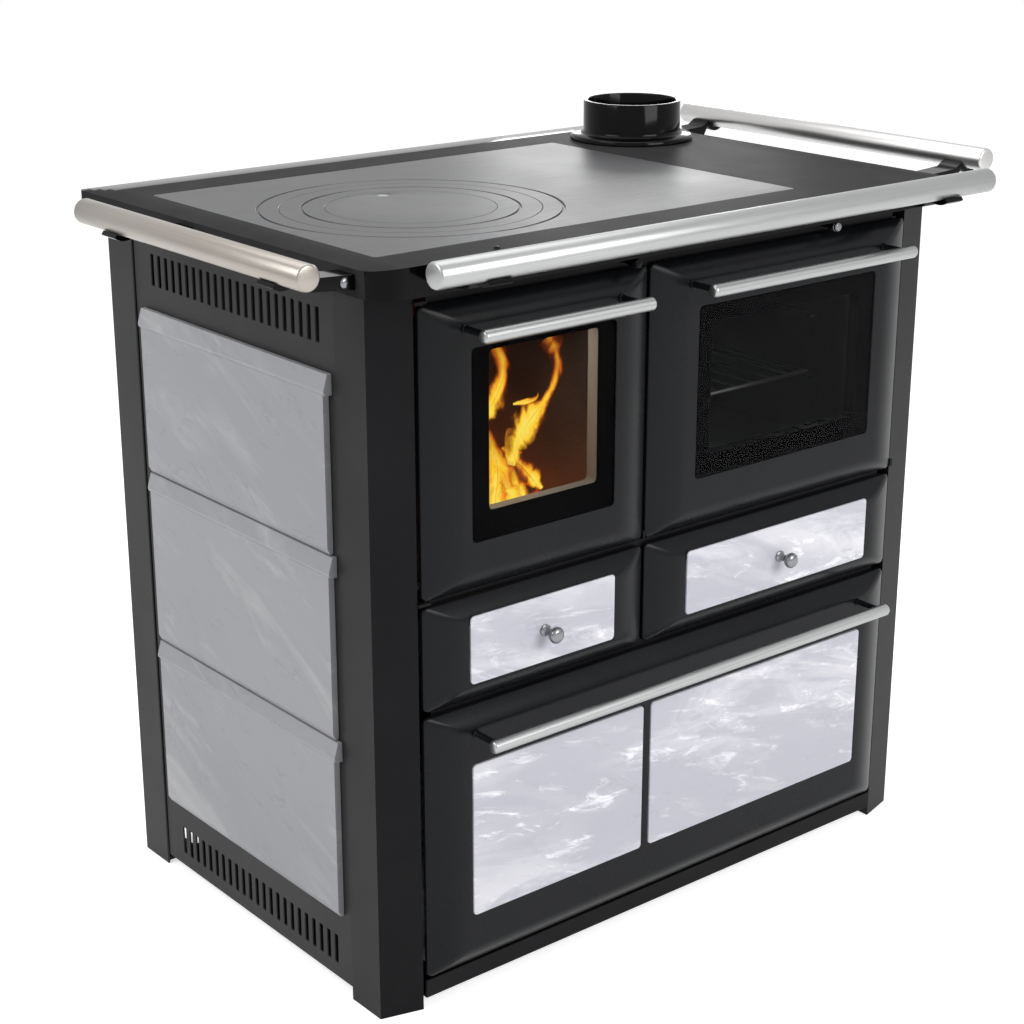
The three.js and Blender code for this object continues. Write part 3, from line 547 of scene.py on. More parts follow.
# ------------------------------------------------------------------ the raised fronts
def front_profile():
    """The bevel as (share of its width, y): a rounded thin edge, a long soft slope, an eased shoulder."""
    start, low = 0.05, FRONT_EDGE_Y - 2.3
    slope = [(0.0, FRONT_BACK_Y), (0.0, FRONT_EDGE_Y + 0.6), (0.006, FRONT_EDGE_Y - 0.6),
             (0.022, FRONT_EDGE_Y - 1.5), (start, low)]
    steps = 10
    for i in range(1, steps + 1):
        t = i / steps
        eased = math.sin(t * math.pi / 2) ** 0.92
        slope.append((start + (1.0 - start) * t, low + (FACE_Y - low) * eased))
    return slope


def recess(skin, x, z, r, y, depth, lip=0.9, index=0):
    """A pocket's lip and wall. Returns the ring on the face and the ring at its foot."""
    def at(grow, depth_y):
        loop = rounded_loop((x[0] - grow, x[1] + grow), (z[0] - grow, z[1] + grow), r + grow)
        return skin.ring([(px, depth_y, pz) for px, pz in loop])
    outer = at(lip, y)
    middle = at(lip * 0.3, y + lip * 0.3)
    inner = at(0.0, y + lip)
    foot = at(0.0, y + depth)
    skin.bridge(outer, middle, index)
    skin.bridge(middle, inner, index)
    skin.bridge(inner, foot, index)
    return outer, foot


def raised_front(name, node, x, z, pockets, window=None, reveal=ENAMEL):
    """A door's or drawer's face with its pockets, and the window if it has one."""
    play = 0.6
    skin = Skin()
    rings = []
    for share, y in front_profile():
        u = (x[0] + share * BEVEL_SIDE, x[1] - share * BEVEL_SIDE)
        v = (z[0] + share * BEVEL_END, z[1] - share * BEVEL_END)
        corner = 7.0 + 3.0 * share
        rings.append(skin.ring([(px, y, pz) for px, pz in rounded_loop(u, v, corner)]))
    for a, b in zip(rings, rings[1:]):
        skin.bridge(a, b)
    lips = []
    back = [rings[0]]
    for pocket_x, pocket_z, depth in pockets:
        grown_x = (pocket_x[0] - play, pocket_x[1] + play)
        grown_z = (pocket_z[0] - play, pocket_z[1] + play)
        lip, foot = recess(skin, grown_x, grown_z, 5.5, FACE_Y, depth)
        lips.append(lip)
        if window:
            through = FRONT_BACK_Y - FACE_Y - depth
            near, far = recess(skin, *window, 6.0, FACE_Y + depth, through, 0.6, 1)
            skin.fill([foot, near])
            back.append(far)
        else:
            skin.fill([foot])
    skin.fill([rings[-1]] + lips)
    skin.fill(back)
    weighted(finish_piece(skin.mesh(name), name, BODY_OF[node], [ENAMEL, reveal], [node], SLOT_OF[node],
                          42.0))


def slab(name, node, x, z, y, edge, material):
    """A flat piece with its front edge rounded over, such as a tile or a pane."""
    r = 5.0
    skin = Skin()
    front, rear = y
    steps = ((0.0, rear), (0.0, front + edge), (edge * 0.3, front + edge * 0.3), (edge, front))
    rings = []
    for grow, depth in steps:
        loop = rounded_loop((x[0] + grow, x[1] - grow), (z[0] + grow, z[1] - grow), max(r - grow, 0.6))
        rings.append(skin.ring([(px, depth, pz) for px, pz in loop]))
    for a, b in zip(rings, rings[1:]):
        skin.bridge(a, b)
    skin.cap(rings[0])
    skin.cap(rings[-1])
    weighted(finish_piece(skin.mesh(name), name, BODY_OF[node], material, [node], SLOT_OF[node], 40.0))


def printed_border(name, body, outer_x, outer_z, inner_x, inner_z):
    """The black border fired onto the back of a pane."""
    skin = Skin()
    rings = []
    for depth in (FACE_Y + 2.7, FACE_Y + 3.0):
        outer = skin.ring([(px, depth, pz) for px, pz in rounded_loop(outer_x, outer_z, 4.0)])
        inner = skin.ring([(px, depth, pz) for px, pz in rounded_loop(inner_x, inner_z, 5.0)])
        rings.append((outer, inner))
        skin.fill([outer, inner])
    skin.bridge(rings[0][0], rings[1][0])
    skin.bridge(rings[0][1], rings[1][1])
    finish_piece(skin.mesh(name), name, body, BORDER_BLACK, (), "glass", 40.0)


PANE_DEPTH = 3.4
TILE_DEPTH = 3.9
FIREBOX_PANE = ((-311.0, -112.0), (551.0, 762.0))
FIREBOX_WINDOW = ((-287.0, -136.0), (581.0, 757.0))
OVEN_PANE = ((14.0, 306.0), (555.0, 757.0))
OVEN_WINDOW = ((37.0, 283.0), (579.0, 735.0))
TILES = {
    "ash_drawer_tile": ((-316.0, -109.0), (389.0, 468.0)),
    "warming_drawer_tile": ((4.0, 313.0), (389.0, 468.0)),
    "wood_drawer_tile_left": ((-314.0, -60.0), (106.0, 292.0)),
    "wood_drawer_tile_right": ((-48.0, 313.0), (106.0, 292.0)),
}


def pocket_for(tile):
    """A tile's place and the depth of the pocket that holds it."""
    return TILES[tile] + (TILE_DEPTH,)


raised_front("firebox_door_face", "firebox_door_frame", LEFT_X, DOOR_Z, [FIREBOX_PANE + (PANE_DEPTH,)],
             FIREBOX_WINDOW, REVEAL)
raised_front("oven_door_face", "oven_door_frame", RIGHT_X, DOOR_Z, [OVEN_PANE + (PANE_DEPTH,)], OVEN_WINDOW)
raised_front("ash_drawer_face", "ash_drawer_front", LEFT_X, DRAWER_Z, [pocket_for("ash_drawer_tile")])
raised_front("warming_drawer_face", "warming_drawer_front", RIGHT_X, DRAWER_Z,
             [pocket_for("warming_drawer_tile")])
raised_front("wood_drawer_face", "wood_drawer_front", WIDE_X, WOOD_Z,
             [pocket_for("wood_drawer_tile_left"), pocket_for("wood_drawer_tile_right")])

TILE_Y = (FACE_Y - 1.5, FACE_Y + 3.5)
for tile, (tile_x, tile_z) in TILES.items():
    slab("stone_" + tile, tile, tile_x, tile_z, TILE_Y, 1.2, FRONT_STONE)

PANE_Y = (FACE_Y - 1.0, FACE_Y + 2.6)
slab("firebox_pane", "firebox_glass", *FIREBOX_PANE, PANE_Y, 0.7, CLEAR_PANE)
slab("oven_pane", "oven_glass", *OVEN_PANE, PANE_Y, 0.7, SMOKED_PANE)
printed_border("firebox_pane_border", "firebox_door", *FIREBOX_PANE, (-287.0, -136.0), (582.0, 757.0))
printed_border("oven_pane_border", "oven_door", *OVEN_PANE, (37.0, 282.0), (579.0, 735.0))


def seal(name, body, x, z):
    """The woven rope pressed into the back of a door, round its window."""
    skin = Skin()
    path = rounded_loop(x, z, 16.0, 10)
    count, radius, sides, y = len(path), 3.4, 12, FRONT_BACK_Y + 2.0
    rings = []
    for i in range(count):
        before, after = Vector(path[i - 1]), Vector(path[(i + 1) % count])
        along = (after - before).normalized()
        out = Vector((along.y, -along.x))
        points = []
        for j in range(sides):
            a = TAU * j / sides
            side = out * (radius * 1.15 * math.cos(a))
            points.append((path[i][0] + side.x, y + radius * 0.8 * math.sin(a), path[i][1] + side.y))
        rings.append(skin.ring(points))
    for i in range(count):
        skin.bridge(rings[i], rings[(i + 1) % count])
    finish_piece(skin.mesh(name), name, body, ROPE, (), "firebrick", 60.0)


seal("firebox_seal", "firebox_door", (-322.0, -100.0), (546.0, 778.0))
seal("oven_seal", "oven_door", (2.0, 318.0), (548.0, 768.0))


# ------------------------------------------------------------------ bars, handles and knobs
def bar_profile(radius, length, chamfer):
    """A round bar with eased ends, for lathe()."""
    return [(0.0, 0.0), (radius - chamfer, 0.0), (radius - chamfer * 0.4, chamfer * 0.25), (radius, chamfer),
            (radius, length - chamfer), (radius - chamfer * 0.4, length - chamfer * 0.25),
            (radius - chamfer, length), (0.0, length)]


def handle(name, node, x, z):
    """A tube with eased ends on two turned stand-offs."""
    y, radius, inset = FRONT - 71.0, 7.5, 9.0
    bar = lathe(bar_profile(radius, x[1] - x[0], 3.0), (x[0], y, z), "x", 48, name)
    weighted(finish_piece(bar, name, BODY_OF[node], BAR_X, [node], SLOT_OF[node], 40.0))
    posts = []
    for foot in (x[0] + inset, x[1] - inset):
        reach = FACE_Y - 0.4 - y
        post = [(0.0, 5.0), (3.6, 5.0), (3.6, reach - 3.0), (4.2, reach - 1.6), (4.9, reach - 1.4),
                (4.9, reach - 0.3), (4.6, reach), (0.0, reach)]
        posts.append(lathe(post, (foot, y, z), "y", 32))
    finish_piece(joined(posts, name + "_posts"), name + "_posts", BODY_OF[node], ENAMEL, (), "enamel", 40.0)


DOOR_HANDLE_Z = 785.0
handle("firebox_handle_bar", "firebox_handle", (-329.0, -96.0), DOOR_HANDLE_Z)
handle("oven_handle_bar", "oven_handle", (-8.0, 327.0), DOOR_HANDLE_Z)
handle("wood_handle_bar", "wood_drawer_handle", (-318.0, 317.0), 330.0)


def drawer_knob(name, node, x):
    """A small turned pull: collar, waist and a crowned head."""
    profile = [(0.0, 0.0), (7.0, 0.0), (7.0, -1.6), (5.0, -3.0), (4.1, -5.0), (4.1, -10.0),
               (5.2, -12.6), (8.0, -15.0), (9.3, -17.6), (9.5, -19.4), (8.9, -21.8), (7.2, -23.6),
               (4.4, -24.7), (0.0, -25.0)]
    centre = (x, TILE_Y[0] - 0.4, 427.0)
    turned = lathe(profile, centre, "y", 40, name)
    finish_piece(turned, name, BODY_OF[node], KNOB_STEEL, [node], SLOT_OF[node], 50.0)


drawer_knob("ash_knob", "ash_drawer_knob", -212.5)
drawer_knob("warming_knob", "warming_drawer_knob", 158.5)

RAIL_R = 14.0
RAIL_Z = 867.0
RAIL_X = 517.0
# The left and right rails take the darker and the lighter copy of the rail steel: painted shade and painted
# light.
for label, start, axis, length, steel in (
        ("front", (-420.0, FRONT - 111.0, RAIL_Z), "x", 824.0, BAR_X),
        ("left", (-RAIL_X, FRONT - 45.0, RAIL_Z), "y", 438.0, BAR_LEFT_SHADED),
        ("right", (RAIL_X, FRONT - 20.0, RAIL_Z), "y", 540.0, BAR_RIGHT_LIT)):
    finish_piece(lathe(bar_profile(RAIL_R, length, 2.6), start, axis, 64), label + "_bar", "stove", steel,
                 [label + "_rail"], "polished_steel", 40.0)


def control(name, node, x, rod_end, half, shutter_z, material):
    """A draught control: a short drum on a thin rod, with a shutter plate on the rod's far end."""
    z = 822.0
    y = FRONT - 42.0
    head = [(0.0, 0.0), (3.2, 0.0), (4.4, 0.4), (5.1, 1.3), (5.3, 2.4), (5.3, 3.6), (4.8, 4.0), (4.8, 4.6),
            (5.3, 5.0), (5.3, 12.6), (4.9, 13.8), (3.8, 14.7), (3.0, 15.0), (3.0, rod_end - y),
            (0.0, rod_end - y)]
    skin = Skin()
    plates = []
    for offset, inset in ((-1.0, 0.6), (-0.4, 0.0), (1.4, 0.0), (2.0, 0.6)):
        wide = (x - half + inset, x + half - inset)
        tall = (shutter_z[0] + inset, shutter_z[1] - inset)
        plates.append(skin.ring([(px, rod_end + offset, pz) for px, pz in rounded_loop(wide, tall, 2.0, 4)]))
    for a, b in zip(plates, plates[1:]):
        skin.bridge(a, b)
    skin.cap(plates[0])
    skin.cap(plates[-1])
    whole = joined([lathe(head, (x, y, z), "y", 40, name), skin.mesh(name + "_shutter")], name)
    finish_piece(whole, name, BODY_OF[node], material, [node], SLOT_OF[node], 40.0)


control("air_knob", "air_control", -90.0, FRONT + 60.0, 30.0, (806.0, 838.0), GLOSS_BLACK)
control("bypass_knob", "smoke_bypass_control", 225.0, FRONT + 240.0, 50.0, (792.0, 842.0), KNOB_STEEL)

# ------------------------------------------------------------------ hob
RINGS_AT = (-203.0, FRONT + 216.0)
RING_STEPS = 144


def circle(skin, at, r, z, count=RING_STEPS):
    """A level ring of points round a centre."""
    return skin.ring([(at[0] + r * math.cos(TAU * i / count), at[1] + r * math.sin(TAU * i / count), z)
                      for i in range(count)])


def hob_plate():
    """The plate: rounded outer edge, a stepped well for the rings and one turned groove round it."""
    skin = Skin()
    x, y = (-394.0, 215.0), (FRONT + 20.0, FRONT + 462.0)
    outline = []
    for grow, z in ((0.0, HOB_Z - 9.0), (0.0, HOB_Z - 0.7), (0.2, HOB_Z - 0.2), (0.7, HOB_Z)):
        loop = rounded_loop((x[0] + grow, x[1] - grow), (y[0] + grow, y[1] - grow), 4.0)
        outline.append(skin.ring([(px, py, z) for px, py in loop]))
    for a, b in zip(outline, outline[1:]):
        skin.bridge(a, b)
    top = [circle(skin, RINGS_AT, r, HOB_Z - down) for r, down in (
        (174.0, 0.0), (173.6, 0.3), (173.2, 1.6), (170.8, 1.6), (170.4, 0.3), (170.0, 0.0), (149.0, 0.0),
        (148.4, 0.5), (148.4, 5.0), (140.0, 5.0), (140.0, 9.0))]
    for a, b in zip(top, top[1:]):
        skin.bridge(a, b)
    skin.fill([outline[-1], top[0]])
    skin.fill([outline[0], top[-1]])
    weighted(finish_piece(skin.mesh("hob_plate_face"), "hob_plate_face", "stove", IRON, ["hob_plate"],
                          "cast_iron", 30.0))


hob_plate()
RING_PROFILE = [
    (89.0, 851.0), (139.6, 851.0), (139.6, 855.4), (148.0, 855.4), (148.0, 859.5), (147.5, 860.0),
    (124.9, 860.0), (124.5, 859.7), (124.2, 858.4), (121.8, 858.4), (121.5, 859.7), (121.1, 860.0),
    (97.9, 860.0), (97.4, 859.5), (97.4, 855.0), (89.0, 855.0), (89.0, 851.0)]
finish_piece(lathe(RING_PROFILE, (*RINGS_AT, 0.0), "z", RING_STEPS, "ring_face"), "ring_face",
             BODY_OF["hob_ring"], IRON, ["hob_ring"], SLOT_OF["hob_ring"], 30.0)


def lid():
    """The lid, with the steel boss where the lifting tool goes in."""
    skin = Skin()
    rings = [circle(skin, RINGS_AT, r, z) for r, z in (
        (88.6, 851.0), (88.6, 855.4), (97.0, 855.4), (97.0, 859.5), (96.5, 860.0))]
    for a, b in zip(rings, rings[1:]):
        skin.bridge(a, b)
    socket = (RINGS_AT[0] + 16.0, RINGS_AT[1] + 76.0)
    notch = [circle(skin, socket, r, z, 32) for r, z in ((7.4, 860.0), (7.0, 859.8), (6.8, 859.7))]
    for a, b in zip(notch, notch[1:]):
        skin.bridge(a, b)
    skin.fill([rings[-1], notch[0]])
    skin.cap(notch[-1], 1)
    skin.cap(rings[0])
    finish_piece(skin.mesh("lid_face"), "lid_face", "lid", [IRON, BAR_X], ["hob_lid"], "cast_iron", 30.0)


lid()
FLUE_AT = (323.0, FRONT + 425.0)
FLUE_PROFILE = [
    (59.0, 860.4), (82.0, 860.4), (82.0, 864.8), (81.4, 865.8), (79.0, 867.2), (70.0, 868.2), (67.0, 869.4),
    (65.4, 871.6), (65.0, 874.0), (65.0, 910.5), (64.4, 911.6), (63.2, 912.0), (60.4, 912.0), (59.4, 911.4),
    (59.0, 910.2), (59.0, 860.4)]
finish_piece(lathe(FLUE_PROFILE, (*FLUE_AT, 0.0), "z", 128, "flue_spigot"), "flue_spigot", "stove",
             GLOSS_BLACK, ["flue_collar"], "gloss_enamel", 40.0)

# ------------------------------------------------------------------ casing
# The front posts' side faces take the lighter copy of their enamel: painted light.
for corner in ("front_left", "front_right"):
    softened(corner + "_post", [POST_ENAMEL, POST_SIDE_PAINTED_LIGHT], 1.4, choose=lambda normal: int(abs(normal.x) > 0.9))
for corner in ("rear_left", "rear_right"):
    softened(corner + "_post", SIDE_STEEL, 1.4)


def slotted_panel(name, node, along, across, u, rows, first, count, pitch, width):
    """A thin panel with rows of upright slots whose rims are pressed slightly inward."""
    skin = Skin()
    outer, inner = across
    lean = (inner - outer) * 0.4

    def place(u_z, depth):
        return (depth, u_z[0], u_z[1]) if along == "y" else (u_z[0], depth, u_z[1])

    def ring(u_range, z_range, r, depth):
        return skin.ring([place(p, depth) for p in rounded_loop(u_range, z_range, r, 3)])
    outside = [ring(u, PANEL_Z, 0.5, outer), ring(u, PANEL_Z, 0.5, inner)]
    skin.bridge(*outside)
    fronts, backs = [outside[0]], [outside[1]]
    for row in rows:
        for i in range(count):
            start = first + i * pitch
            slot = (start, start + width)
            wide = (slot[0] - 0.5, slot[1] + 0.5)
            tall = (row[0] - 0.5, row[1] + 0.5)
            rim_ring = ring(wide, tall, 1.7, outer)
            lip_ring = ring(slot, row, 1.2, outer + lean)
            back_ring = ring(slot, row, 1.2, inner)
            skin.bridge(rim_ring, lip_ring)
            skin.bridge(lip_ring, back_ring)
            fronts.append(rim_ring)
            backs.append(back_ring)
    skin.fill(fronts)
    skin.fill(backs)
    finish_piece(skin.mesh(name), name, "stove", SIDE_STEEL, [node], SLOT_OF[node], 30.0)


PANEL_Z = (14.0, 855.6)
REAR_Y = 298.0
for side, label in ((-1, "left"), (1, "right")):
    slotted_panel(label + "_panel", label + "_side_panel", "y", (side * 421.0, side * 419.0),
                  (-164.0, 242.0), ((32.0, 68.0), (764.0, 801.0)), -136.0, 23, 15.2, 6.5)
slotted_panel("rear_panel", "back_panel", "x", (REAR_Y, REAR_Y - 2.0), WIDE_X,
              ((40.0, 76.0), (760.0, 796.0)), -294.0, 18, 34.0, 10.0)
softened("base_tray", POST_ENAMEL, 0.8)

TOP_EDGE_X = 433.0
TOP_EDGE_BACK = FRONT + 565.0
TOP_ROLL = 3.3
SIDE_MARGIN = 30.0
BACK_MARGIN = 48.0


def rolled_margins(bm):
    """Lets the top sheet fall away a little towards its left, right and rear edges."""
    cuts = []
    for share in (1.0, 0.75, 0.5, 0.25):
        cuts.append(((0.0, TOP_EDGE_BACK - BACK_MARGIN * share, 0.0), (0, 1, 0)))
        for side in (-1, 1):
            cuts.append(((side * (TOP_EDGE_X - SIDE_MARGIN * share), 0.0, 0.0), (1, 0, 0)))
    for point, normal in cuts:
        everything = bm.verts[:] + bm.edges[:] + bm.faces[:]
        bmesh.ops.bisect_plane(bm, geom=everything, plane_co=Vector(point) * MM, plane_no=normal)
    for vertex in bm.verts:
        if vertex.co.z < (HOB_Z - 1.0) * MM:
            continue
        inward = min((TOP_EDGE_X - abs(vertex.co.x / MM)) / SIDE_MARGIN,
                     (TOP_EDGE_BACK - vertex.co.y / MM) / BACK_MARGIN)
        t = 1.0 - min(1.0, max(0.0, inward))
        vertex.co.z -= TOP_ROLL * t ** 1.4 * MM


def top_finish(normal):
    """Gloss on the front skirt and the front corners, a polished rear margin, satin elsewhere."""
    if normal.y < -0.35:
        return 1
    return 2 if normal.y > 0.012 and normal.z > 0.9 else 0


softened("top_frame", [TOP_ENAMEL, GLOSS_BLACK, TOP_MARGIN], 1.6, 50.0, 3, rolled_margins, top_finish)


def screw(name, at, axis, radius, material, slot):
    """A low domed screw head with a rim, its foot on the surface that it holds."""
    sign = -1.0 if axis.startswith("-") else 1.0
    shape = ((0.0, 0.0), (1.0, 0.0), (1.0, 0.5), (0.94, 0.9), (0.72, 1.7), (0.4, 2.2), (0.0, 2.3))
    mesh = lathe([(radius * share, sign * h) for share, h in shape], at, axis[-1], 24, name)
    finish_piece(mesh, name, "stove", material, (), slot, 40.0)


screw("top_frame_screw", (-271.0, -242.0, HOB_Z), "z", 3.6, GLOSS_BLACK, "gloss_enamel")
BOLT_X, BOLT_Z = 446.0, 845.0
for place, side, bolt_y in (("left_front", -1, FRONT - 1.0), ("left_rear", -1, FRONT + 305.0),
                            ("right_front", 1, FRONT + 7.0), ("right_rear", 1, FRONT + 460.0)):
    screw("bracket_bolt_" + place, (side * BOLT_X, bolt_y, BOLT_Z), "-y", 5.4, KNOB_STEEL, "polished_steel")
for row, screw_z in enumerate((24.0, 300.0, 560.0, 845.0)):
    for side, label in ((-1, "left"), (1, "right")):
        screw(f"rear_screw_{row}_{label}", (side * 358.0, REAR_Y, screw_z), "y", 4.2, KNOB_STEEL,
              "bare_steel")
for part in ("frame_top_bar", "frame_middle_bar", "frame_mullion", "drawer_shelf"):
    softened(part, POST_ENAMEL, 0.8)
# The side tiles take the darker copy of the stone: painted shade.
for level in ("lower", "middle", "upper"):
    for side in ("left", "right"):
        softened(f"{side}_tile_{level}", SIDE_STONE_SHADED, 1.2, 20.0, 3)
for bracket in ("front_rail_bracket_left", "front_rail_bracket_right", "left_rail_bracket_front",
                "left_rail_bracket_rear", "right_rail_bracket_front", "right_rail_bracket_rear"):
    softened(bracket, GLOSS_BLACK, 0.8)
softened("firebox_floor", DARK_IRON, 0.6)
softened("ash_grate", DARK_IRON, 0.8)
for brick in ("left_firebrick", "right_firebrick", "rear_firebrick"):
    softened(brick, FIREBRICK, 2.0)
softened("oven_box", OVEN_STEEL, 0.8)
softened("oven_rack", BAR_X, 0.3)
for tray in ("ash_drawer_tray", "warming_drawer_tray", "wood_drawer_tray"):
    softened(tray, SHEET_STEEL, 0.8)


# ------------------------------------------------------------------ fire
def log(name, start, end, radius, seed):
    """A split log: uneven round section, rough ends."""
    skin = Skin()
    a, b = Vector(start), Vector(end)
    along = (b - a).normalized()
    side = along.cross(Vector((0, 0, 1))).normalized()
    up = side.cross(along)
    rings = []
    count, steps = 28, 14
    for i in range(steps + 1):
        t = i / steps
        centre = a.lerp(b, t)
        points = []
        for j in range(count):
            angle = TAU * j / count
            direction = side * math.cos(angle) + up * math.sin(angle)
            wobble = noise.noise(direction * 1.6 + Vector((seed, t * 3.0, 0.0)))
            rough = noise.noise(direction * 6.0 + Vector((t * 9.0, seed, 0.0)))
            r = radius * (1.0 + 0.2 * wobble + 0.06 * rough)
            points.append(centre + direction * r)
        rings.append(skin.ring(points))
    for first, second in zip(rings, rings[1:]):
        skin.bridge(first, second)
    skin.cap(rings[0])
    skin.cap(rings[-1])
    finish_piece(skin.mesh(name), name, "stove", BARK, (), "firebrick", 60.0)


log("log_one", (-326.0, -150.0, 556.0), (-150.0, 40.0, 548.0), 23.0, 1.0)
log("log_two", (-310.0, 60.0, 548.0), (-128.0, -110.0, 560.0), 20.0, 4.0)
log("log_three", (-238.0, -164.0, 616.0), (-150.0, -158.0, 544.0), 11.0, 8.0)
log("log_four", (-330.0, -40.0, 600.0), (-190.0, 30.0, 560.0), 18.0, 12.0)


def ember_bed():
    """Ash and embers heaped on the grate."""
    skin = Skin()
    columns, rows = 60, 70
    grate_top, lowest = 519.5, 519.2
    grid = []
    for j in range(rows + 1):
        row = []
        for i in range(columns + 1):
            x = -336.0 + 248.0 * i / columns
            y = -190.0 + 390.0 * j / rows
            edge = min(i, columns - i) / columns * min(j, rows - j) / rows
            lump = noise.fractal(Vector((x, y, 0.0)) * 0.03, 0.8, 2.1, 4)
            z = grate_top + 30.0 * min(1.0, edge * 9.0) * (0.55 + 0.5 * lump)
            row.append((x, y, max(lowest, z)))
        grid.append(skin.ring(row))
    for j in range(rows):
        for i in range(columns):
            skin.bm.faces.new((grid[j][i], grid[j][i + 1], grid[j + 1][i + 1], grid[j + 1][i]))
    finish_piece(skin.mesh("ember_bed"), "ember_bed", "stove", EMBERS, (), "firebrick", 60.0)


ember_bed()


def spline(knots, t):
    """A point on the smooth curve through the knots, for t from 0 to 1."""
    place = t * (len(knots) - 1)
    k = min(int(place), len(knots) - 2)
    f = place - k
    p0, p1 = knots[max(k - 1, 0)], knots[k]
    p2, p3 = knots[k + 1], knots[min(k + 2, len(knots) - 1)]
    return 0.5 * ((2 * p1) + (p2 - p0) * f + (2 * p0 - 5 * p1 + 4 * p2 - p3) * f * f
                  + (3 * p1 - 3 * p2 + p3 - p0) * f * f * f)


def flame(name, depth, points, seed):
    """A tongue of flame: two crossed sheets along one line of (x, z, half width), at a depth."""
    knots = [Vector(point) for point in points]
    steps, across = 44, 8
    bm = bmesh.new()
    uv = bm.loops.layers.uv.new("sheet")
    for facing, share in ((Vector((-0.36, -0.93, 0.0)), 1.0), (Vector((0.86, -0.5, 0.0)), 0.5)):
        rows = []
        for i in range(steps + 1):
            t = i / steps
            here = spline(knots, t)
            ahead = spline(knots, min(1.0, t + 0.02)) - spline(knots, max(0.0, t - 0.02))
            sway = 7.0 * math.sin(t * 5.0 + seed)
            centre = Vector((here.x, depth + sway, here.y))
            path = Vector((ahead.x, 0.0, ahead.y)).normalized()
            outward = path.cross(facing).normalized()
            flutter = noise.noise(Vector((seed, t * 7.0, share)))
            width = max(0.4, here.z) * share * (1.0 + 0.2 * flutter)
            row = []
            for j in range(across + 1):
                s = j / across * 2 - 1
                row.append((bm.verts.new((centre + outward * (s * width)) * MM), (j / across, t)))
            rows.append(row)
        for r0, r1 in zip(rows, rows[1:]):
            for j in range(across):
                corners = (r0[j], r0[j + 1], r1[j + 1], r1[j])
                face = bm.faces.new([c[0] for c in corners])
                for loop, corner in zip(face.loops, corners):
                    loop[uv].uv = corner[1]
    mesh = bpy.data.meshes.new(name)
    bm.to_mesh(mesh)
    bm.free()
    finish_piece(mesh, name, "stove", FLAME, (), "firebrick", 60.0)


FLAMES = {
    "flame_left": (-190.0, [(-230, 552, 18), (-233, 588, 21), (-238, 622, 14), (-244, 656, 3)]),
    "flame_root": (-186.0, [(-262, 545, 22), (-258, 590, 24), (-256, 630, 14), (-250, 660, 3)]),
    "flame_curl": (-190.0, [(-250, 652, 4), (-238, 672, 17), (-231, 692, 15), (-226, 712, 10),
                            (-229, 734, 11), (-244, 752, 8)]),
    "flame_main": (-190.0, [(-214, 604, 8), (-205, 630, 18), (-190, 644, 22), (-174, 654, 16),
                            (-158, 666, 8), (-145, 679, 7), (-138, 695, 8), (-140, 713, 9),
                            (-148, 727, 15), (-158, 740, 16)]),
    "flame_wisp": (-190.0, [(-201, 668, 2), (-187, 672, 4.5), (-171, 678, 1.5)]),
    "flame_heap": (-194.0, [(-216, 556, 15), (-218, 590, 14), (-214, 624, 5)]),
    "flame_slant": (-188.0, [(-158, 562, 4), (-176, 580, 13), (-200, 602, 12), (-222, 624, 5)]),
    "flame_low": (-190.0, [(-200, 552, 13), (-201, 580, 12), (-204, 604, 3)]),
    "flame_far": (-130.0, [(-300, 545, 18), (-292, 600, 22), (-300, 650, 12), (-288, 700, 3)]),
    "flame_back": (-60.0, [(-250, 548, 22), (-240, 600, 20), (-256, 650, 12), (-246, 710, 3)]),
    "flame_short": (-110.0, [(-215, 550, 14), (-210, 585, 12), (-218, 620, 3)]),
}
for index, (flame_name, (depth, line)) in enumerate(FLAMES.items()):
    flame(flame_name, depth, line, 2.0 + 3.0 * index)

# ------------------------------------------------------------------ camera, floor and light
camera_data = bpy.data.cameras.new("camera")
camera_data.sensor_width = 36.0
camera_data.lens = 72.9
camera_data.clip_end = 50.0
camera = bpy.data.objects.new("camera", camera_data)
camera.location = (-1.5829, -1.8699, 1.2974)
camera.rotation_euler = (math.radians(70.93), 0.0, math.radians(-39.29))
bpy.context.scene.collection.objects.link(camera)
bpy.context.scene.camera = camera


def stage_material():
    """White paper for the camera and the gloss of the stove; it still takes the stove's shadow."""
    s = Shader("white_paper")
    s.link(s.ramp(s.noise(1.5, 2.0), [(0.3, 238), (0.7, 242)]), s.bsdf.inputs["Base Color"])
    s.set(Roughness=0.9)
    path = s.node("ShaderNodeLightPath")
    seen = s.math("MAXIMUM", path.outputs["Is Camera Ray"],
                  s.math("MAXIMUM", path.outputs["Is Glossy Ray"], path.outputs["Is Transmission Ray"]))
    glow = s.node("ShaderNodeEmission")
    glow.inputs["Color"].default_value = (1.0, 1.0, 1.0, 1.0)
    s.link(s.math("MULTIPLY", seen, 0.62), glow.inputs["Strength"])
    both = s.node("ShaderNodeAddShader")
    s.link(s.bsdf.outputs[0], both.inputs[0])
    s.link(glow.outputs[0], both.inputs[1])
    s.link(both.outputs[0], s.output.inputs["Surface"])
    return s.material


def floor():
    mesh = bpy.data.meshes.new("floor")
    bm = bmesh.new()
    bmesh.ops.create_grid(bm, x_segments=2, y_segments=2, size=9.0)
    bm.to_mesh(mesh)
    bm.free()
    made = bpy.data.objects.new("floor", mesh)
    just_below = -0.0006
    made.location = (0.0, 0.0, just_below)
    mesh.materials.append(stage_material())
    bpy.context.scene.collection.objects.link(made)


floor()


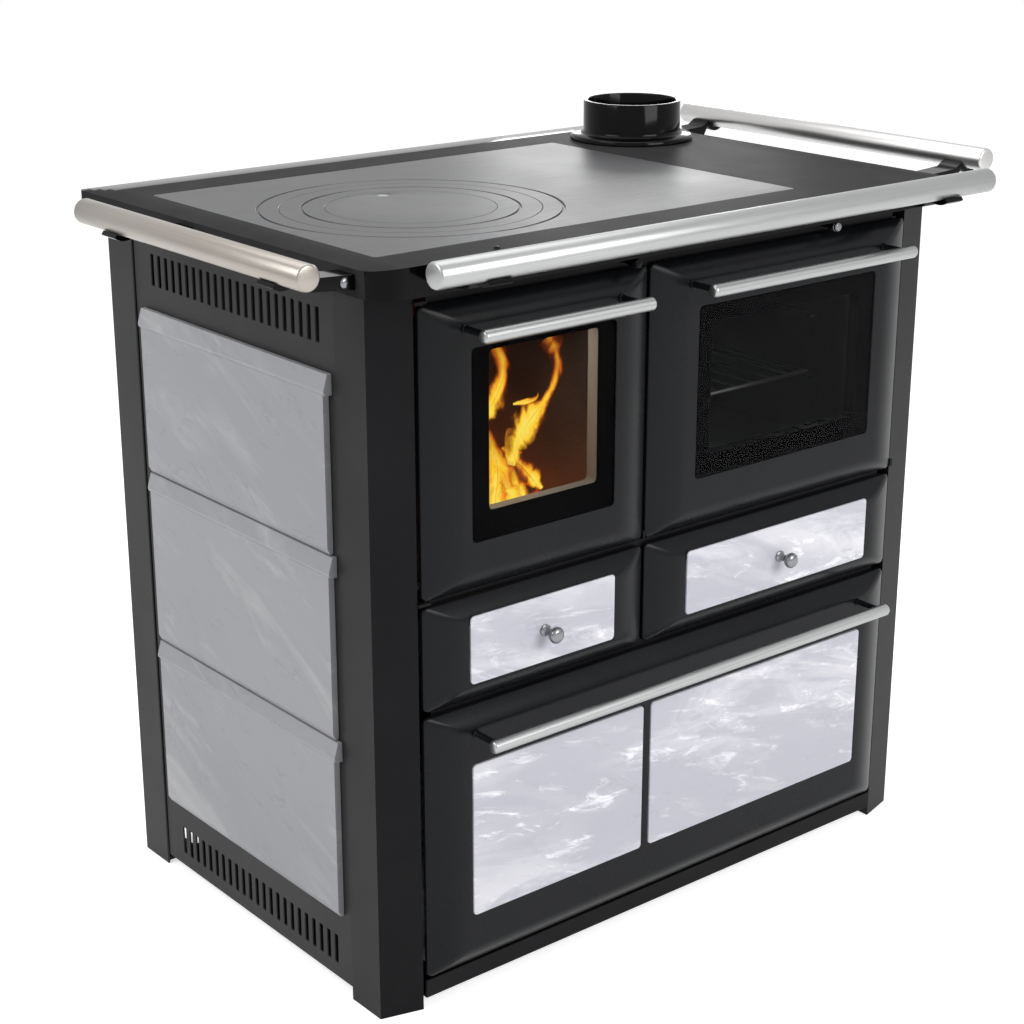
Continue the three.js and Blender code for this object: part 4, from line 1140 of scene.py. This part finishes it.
def world():
    """White to the camera and in reflections, and a softer light from all round."""
    made = bpy.data.worlds.new("studio")
    bpy.context.scene.world = made
    made.use_nodes = True
    tree = made.node_tree
    tree.nodes.clear()
    out = tree.nodes.new("ShaderNodeOutputWorld")
    seen, ambient = (tree.nodes.new("ShaderNodeBackground") for _ in range(2))
    seen.inputs["Color"].default_value = (1.0, 1.0, 1.0, 1.0)
    seen.inputs["Strength"].default_value = 1.0
    ambient.inputs["Color"].default_value = (0.96, 0.98, 1.0, 1.0)
    ambient.inputs["Strength"].default_value = 0.42
    path = tree.nodes.new("ShaderNodeLightPath")
    first, second = (tree.nodes.new("ShaderNodeMath") for _ in range(2))
    first.operation = second.operation = "MAXIMUM"
    mix = tree.nodes.new("ShaderNodeMixShader")
    tree.links.new(path.outputs["Is Camera Ray"], first.inputs[0])
    tree.links.new(path.outputs["Is Glossy Ray"], first.inputs[1])
    tree.links.new(first.outputs[0], second.inputs[0])
    tree.links.new(path.outputs["Is Transmission Ray"], second.inputs[1])
    tree.links.new(second.outputs[0], mix.inputs[0])
    tree.links.new(ambient.outputs[0], mix.inputs[1])
    tree.links.new(seen.outputs[0], mix.inputs[2])
    tree.links.new(mix.outputs[0], out.inputs["Surface"])


world()


def softbox(name, place, target, size, power, colour=(1.0, 1.0, 1.0)):
    """A rectangular lamp that the camera doesn't see, in metres and watts."""
    data = bpy.data.lights.new(name, "AREA")
    data.shape = "RECTANGLE"
    data.size, data.size_y = size
    data.energy = power
    data.color = colour
    lamp = bpy.data.objects.new(name, data)
    lamp.location = place
    lamp.rotation_euler = (Vector(target) - Vector(place)).to_track_quat("-Z", "Y").to_euler()
    lamp.visible_camera = False
    bpy.context.scene.collection.objects.link(lamp)


softbox("key", (0.6, -3.6, 2.3), (0.0, 0.0, 0.5), (2.2, 1.8), 92.0)
softbox("top", (0.2, 0.6, 3.2), (0.0, 0.0, 0.5), (2.6, 2.2), 30.0)
softbox("fill", (-3.0, 0.4, 2.8), (0.0, 0.0, 0.5), (2.0, 1.6), 60.0)
softbox("glow", (1.3, 1.25, 1.14), (0.2, 0.05, 0.86), (0.6, 0.3), 3.4)
softbox("fire", (-0.21, -0.2, 0.745), (-0.2, -0.285, 0.58), (0.16, 0.03), 0.16, (1.0, 0.88, 0.74))

bpy.context.scene.view_settings.view_transform = "Standard"
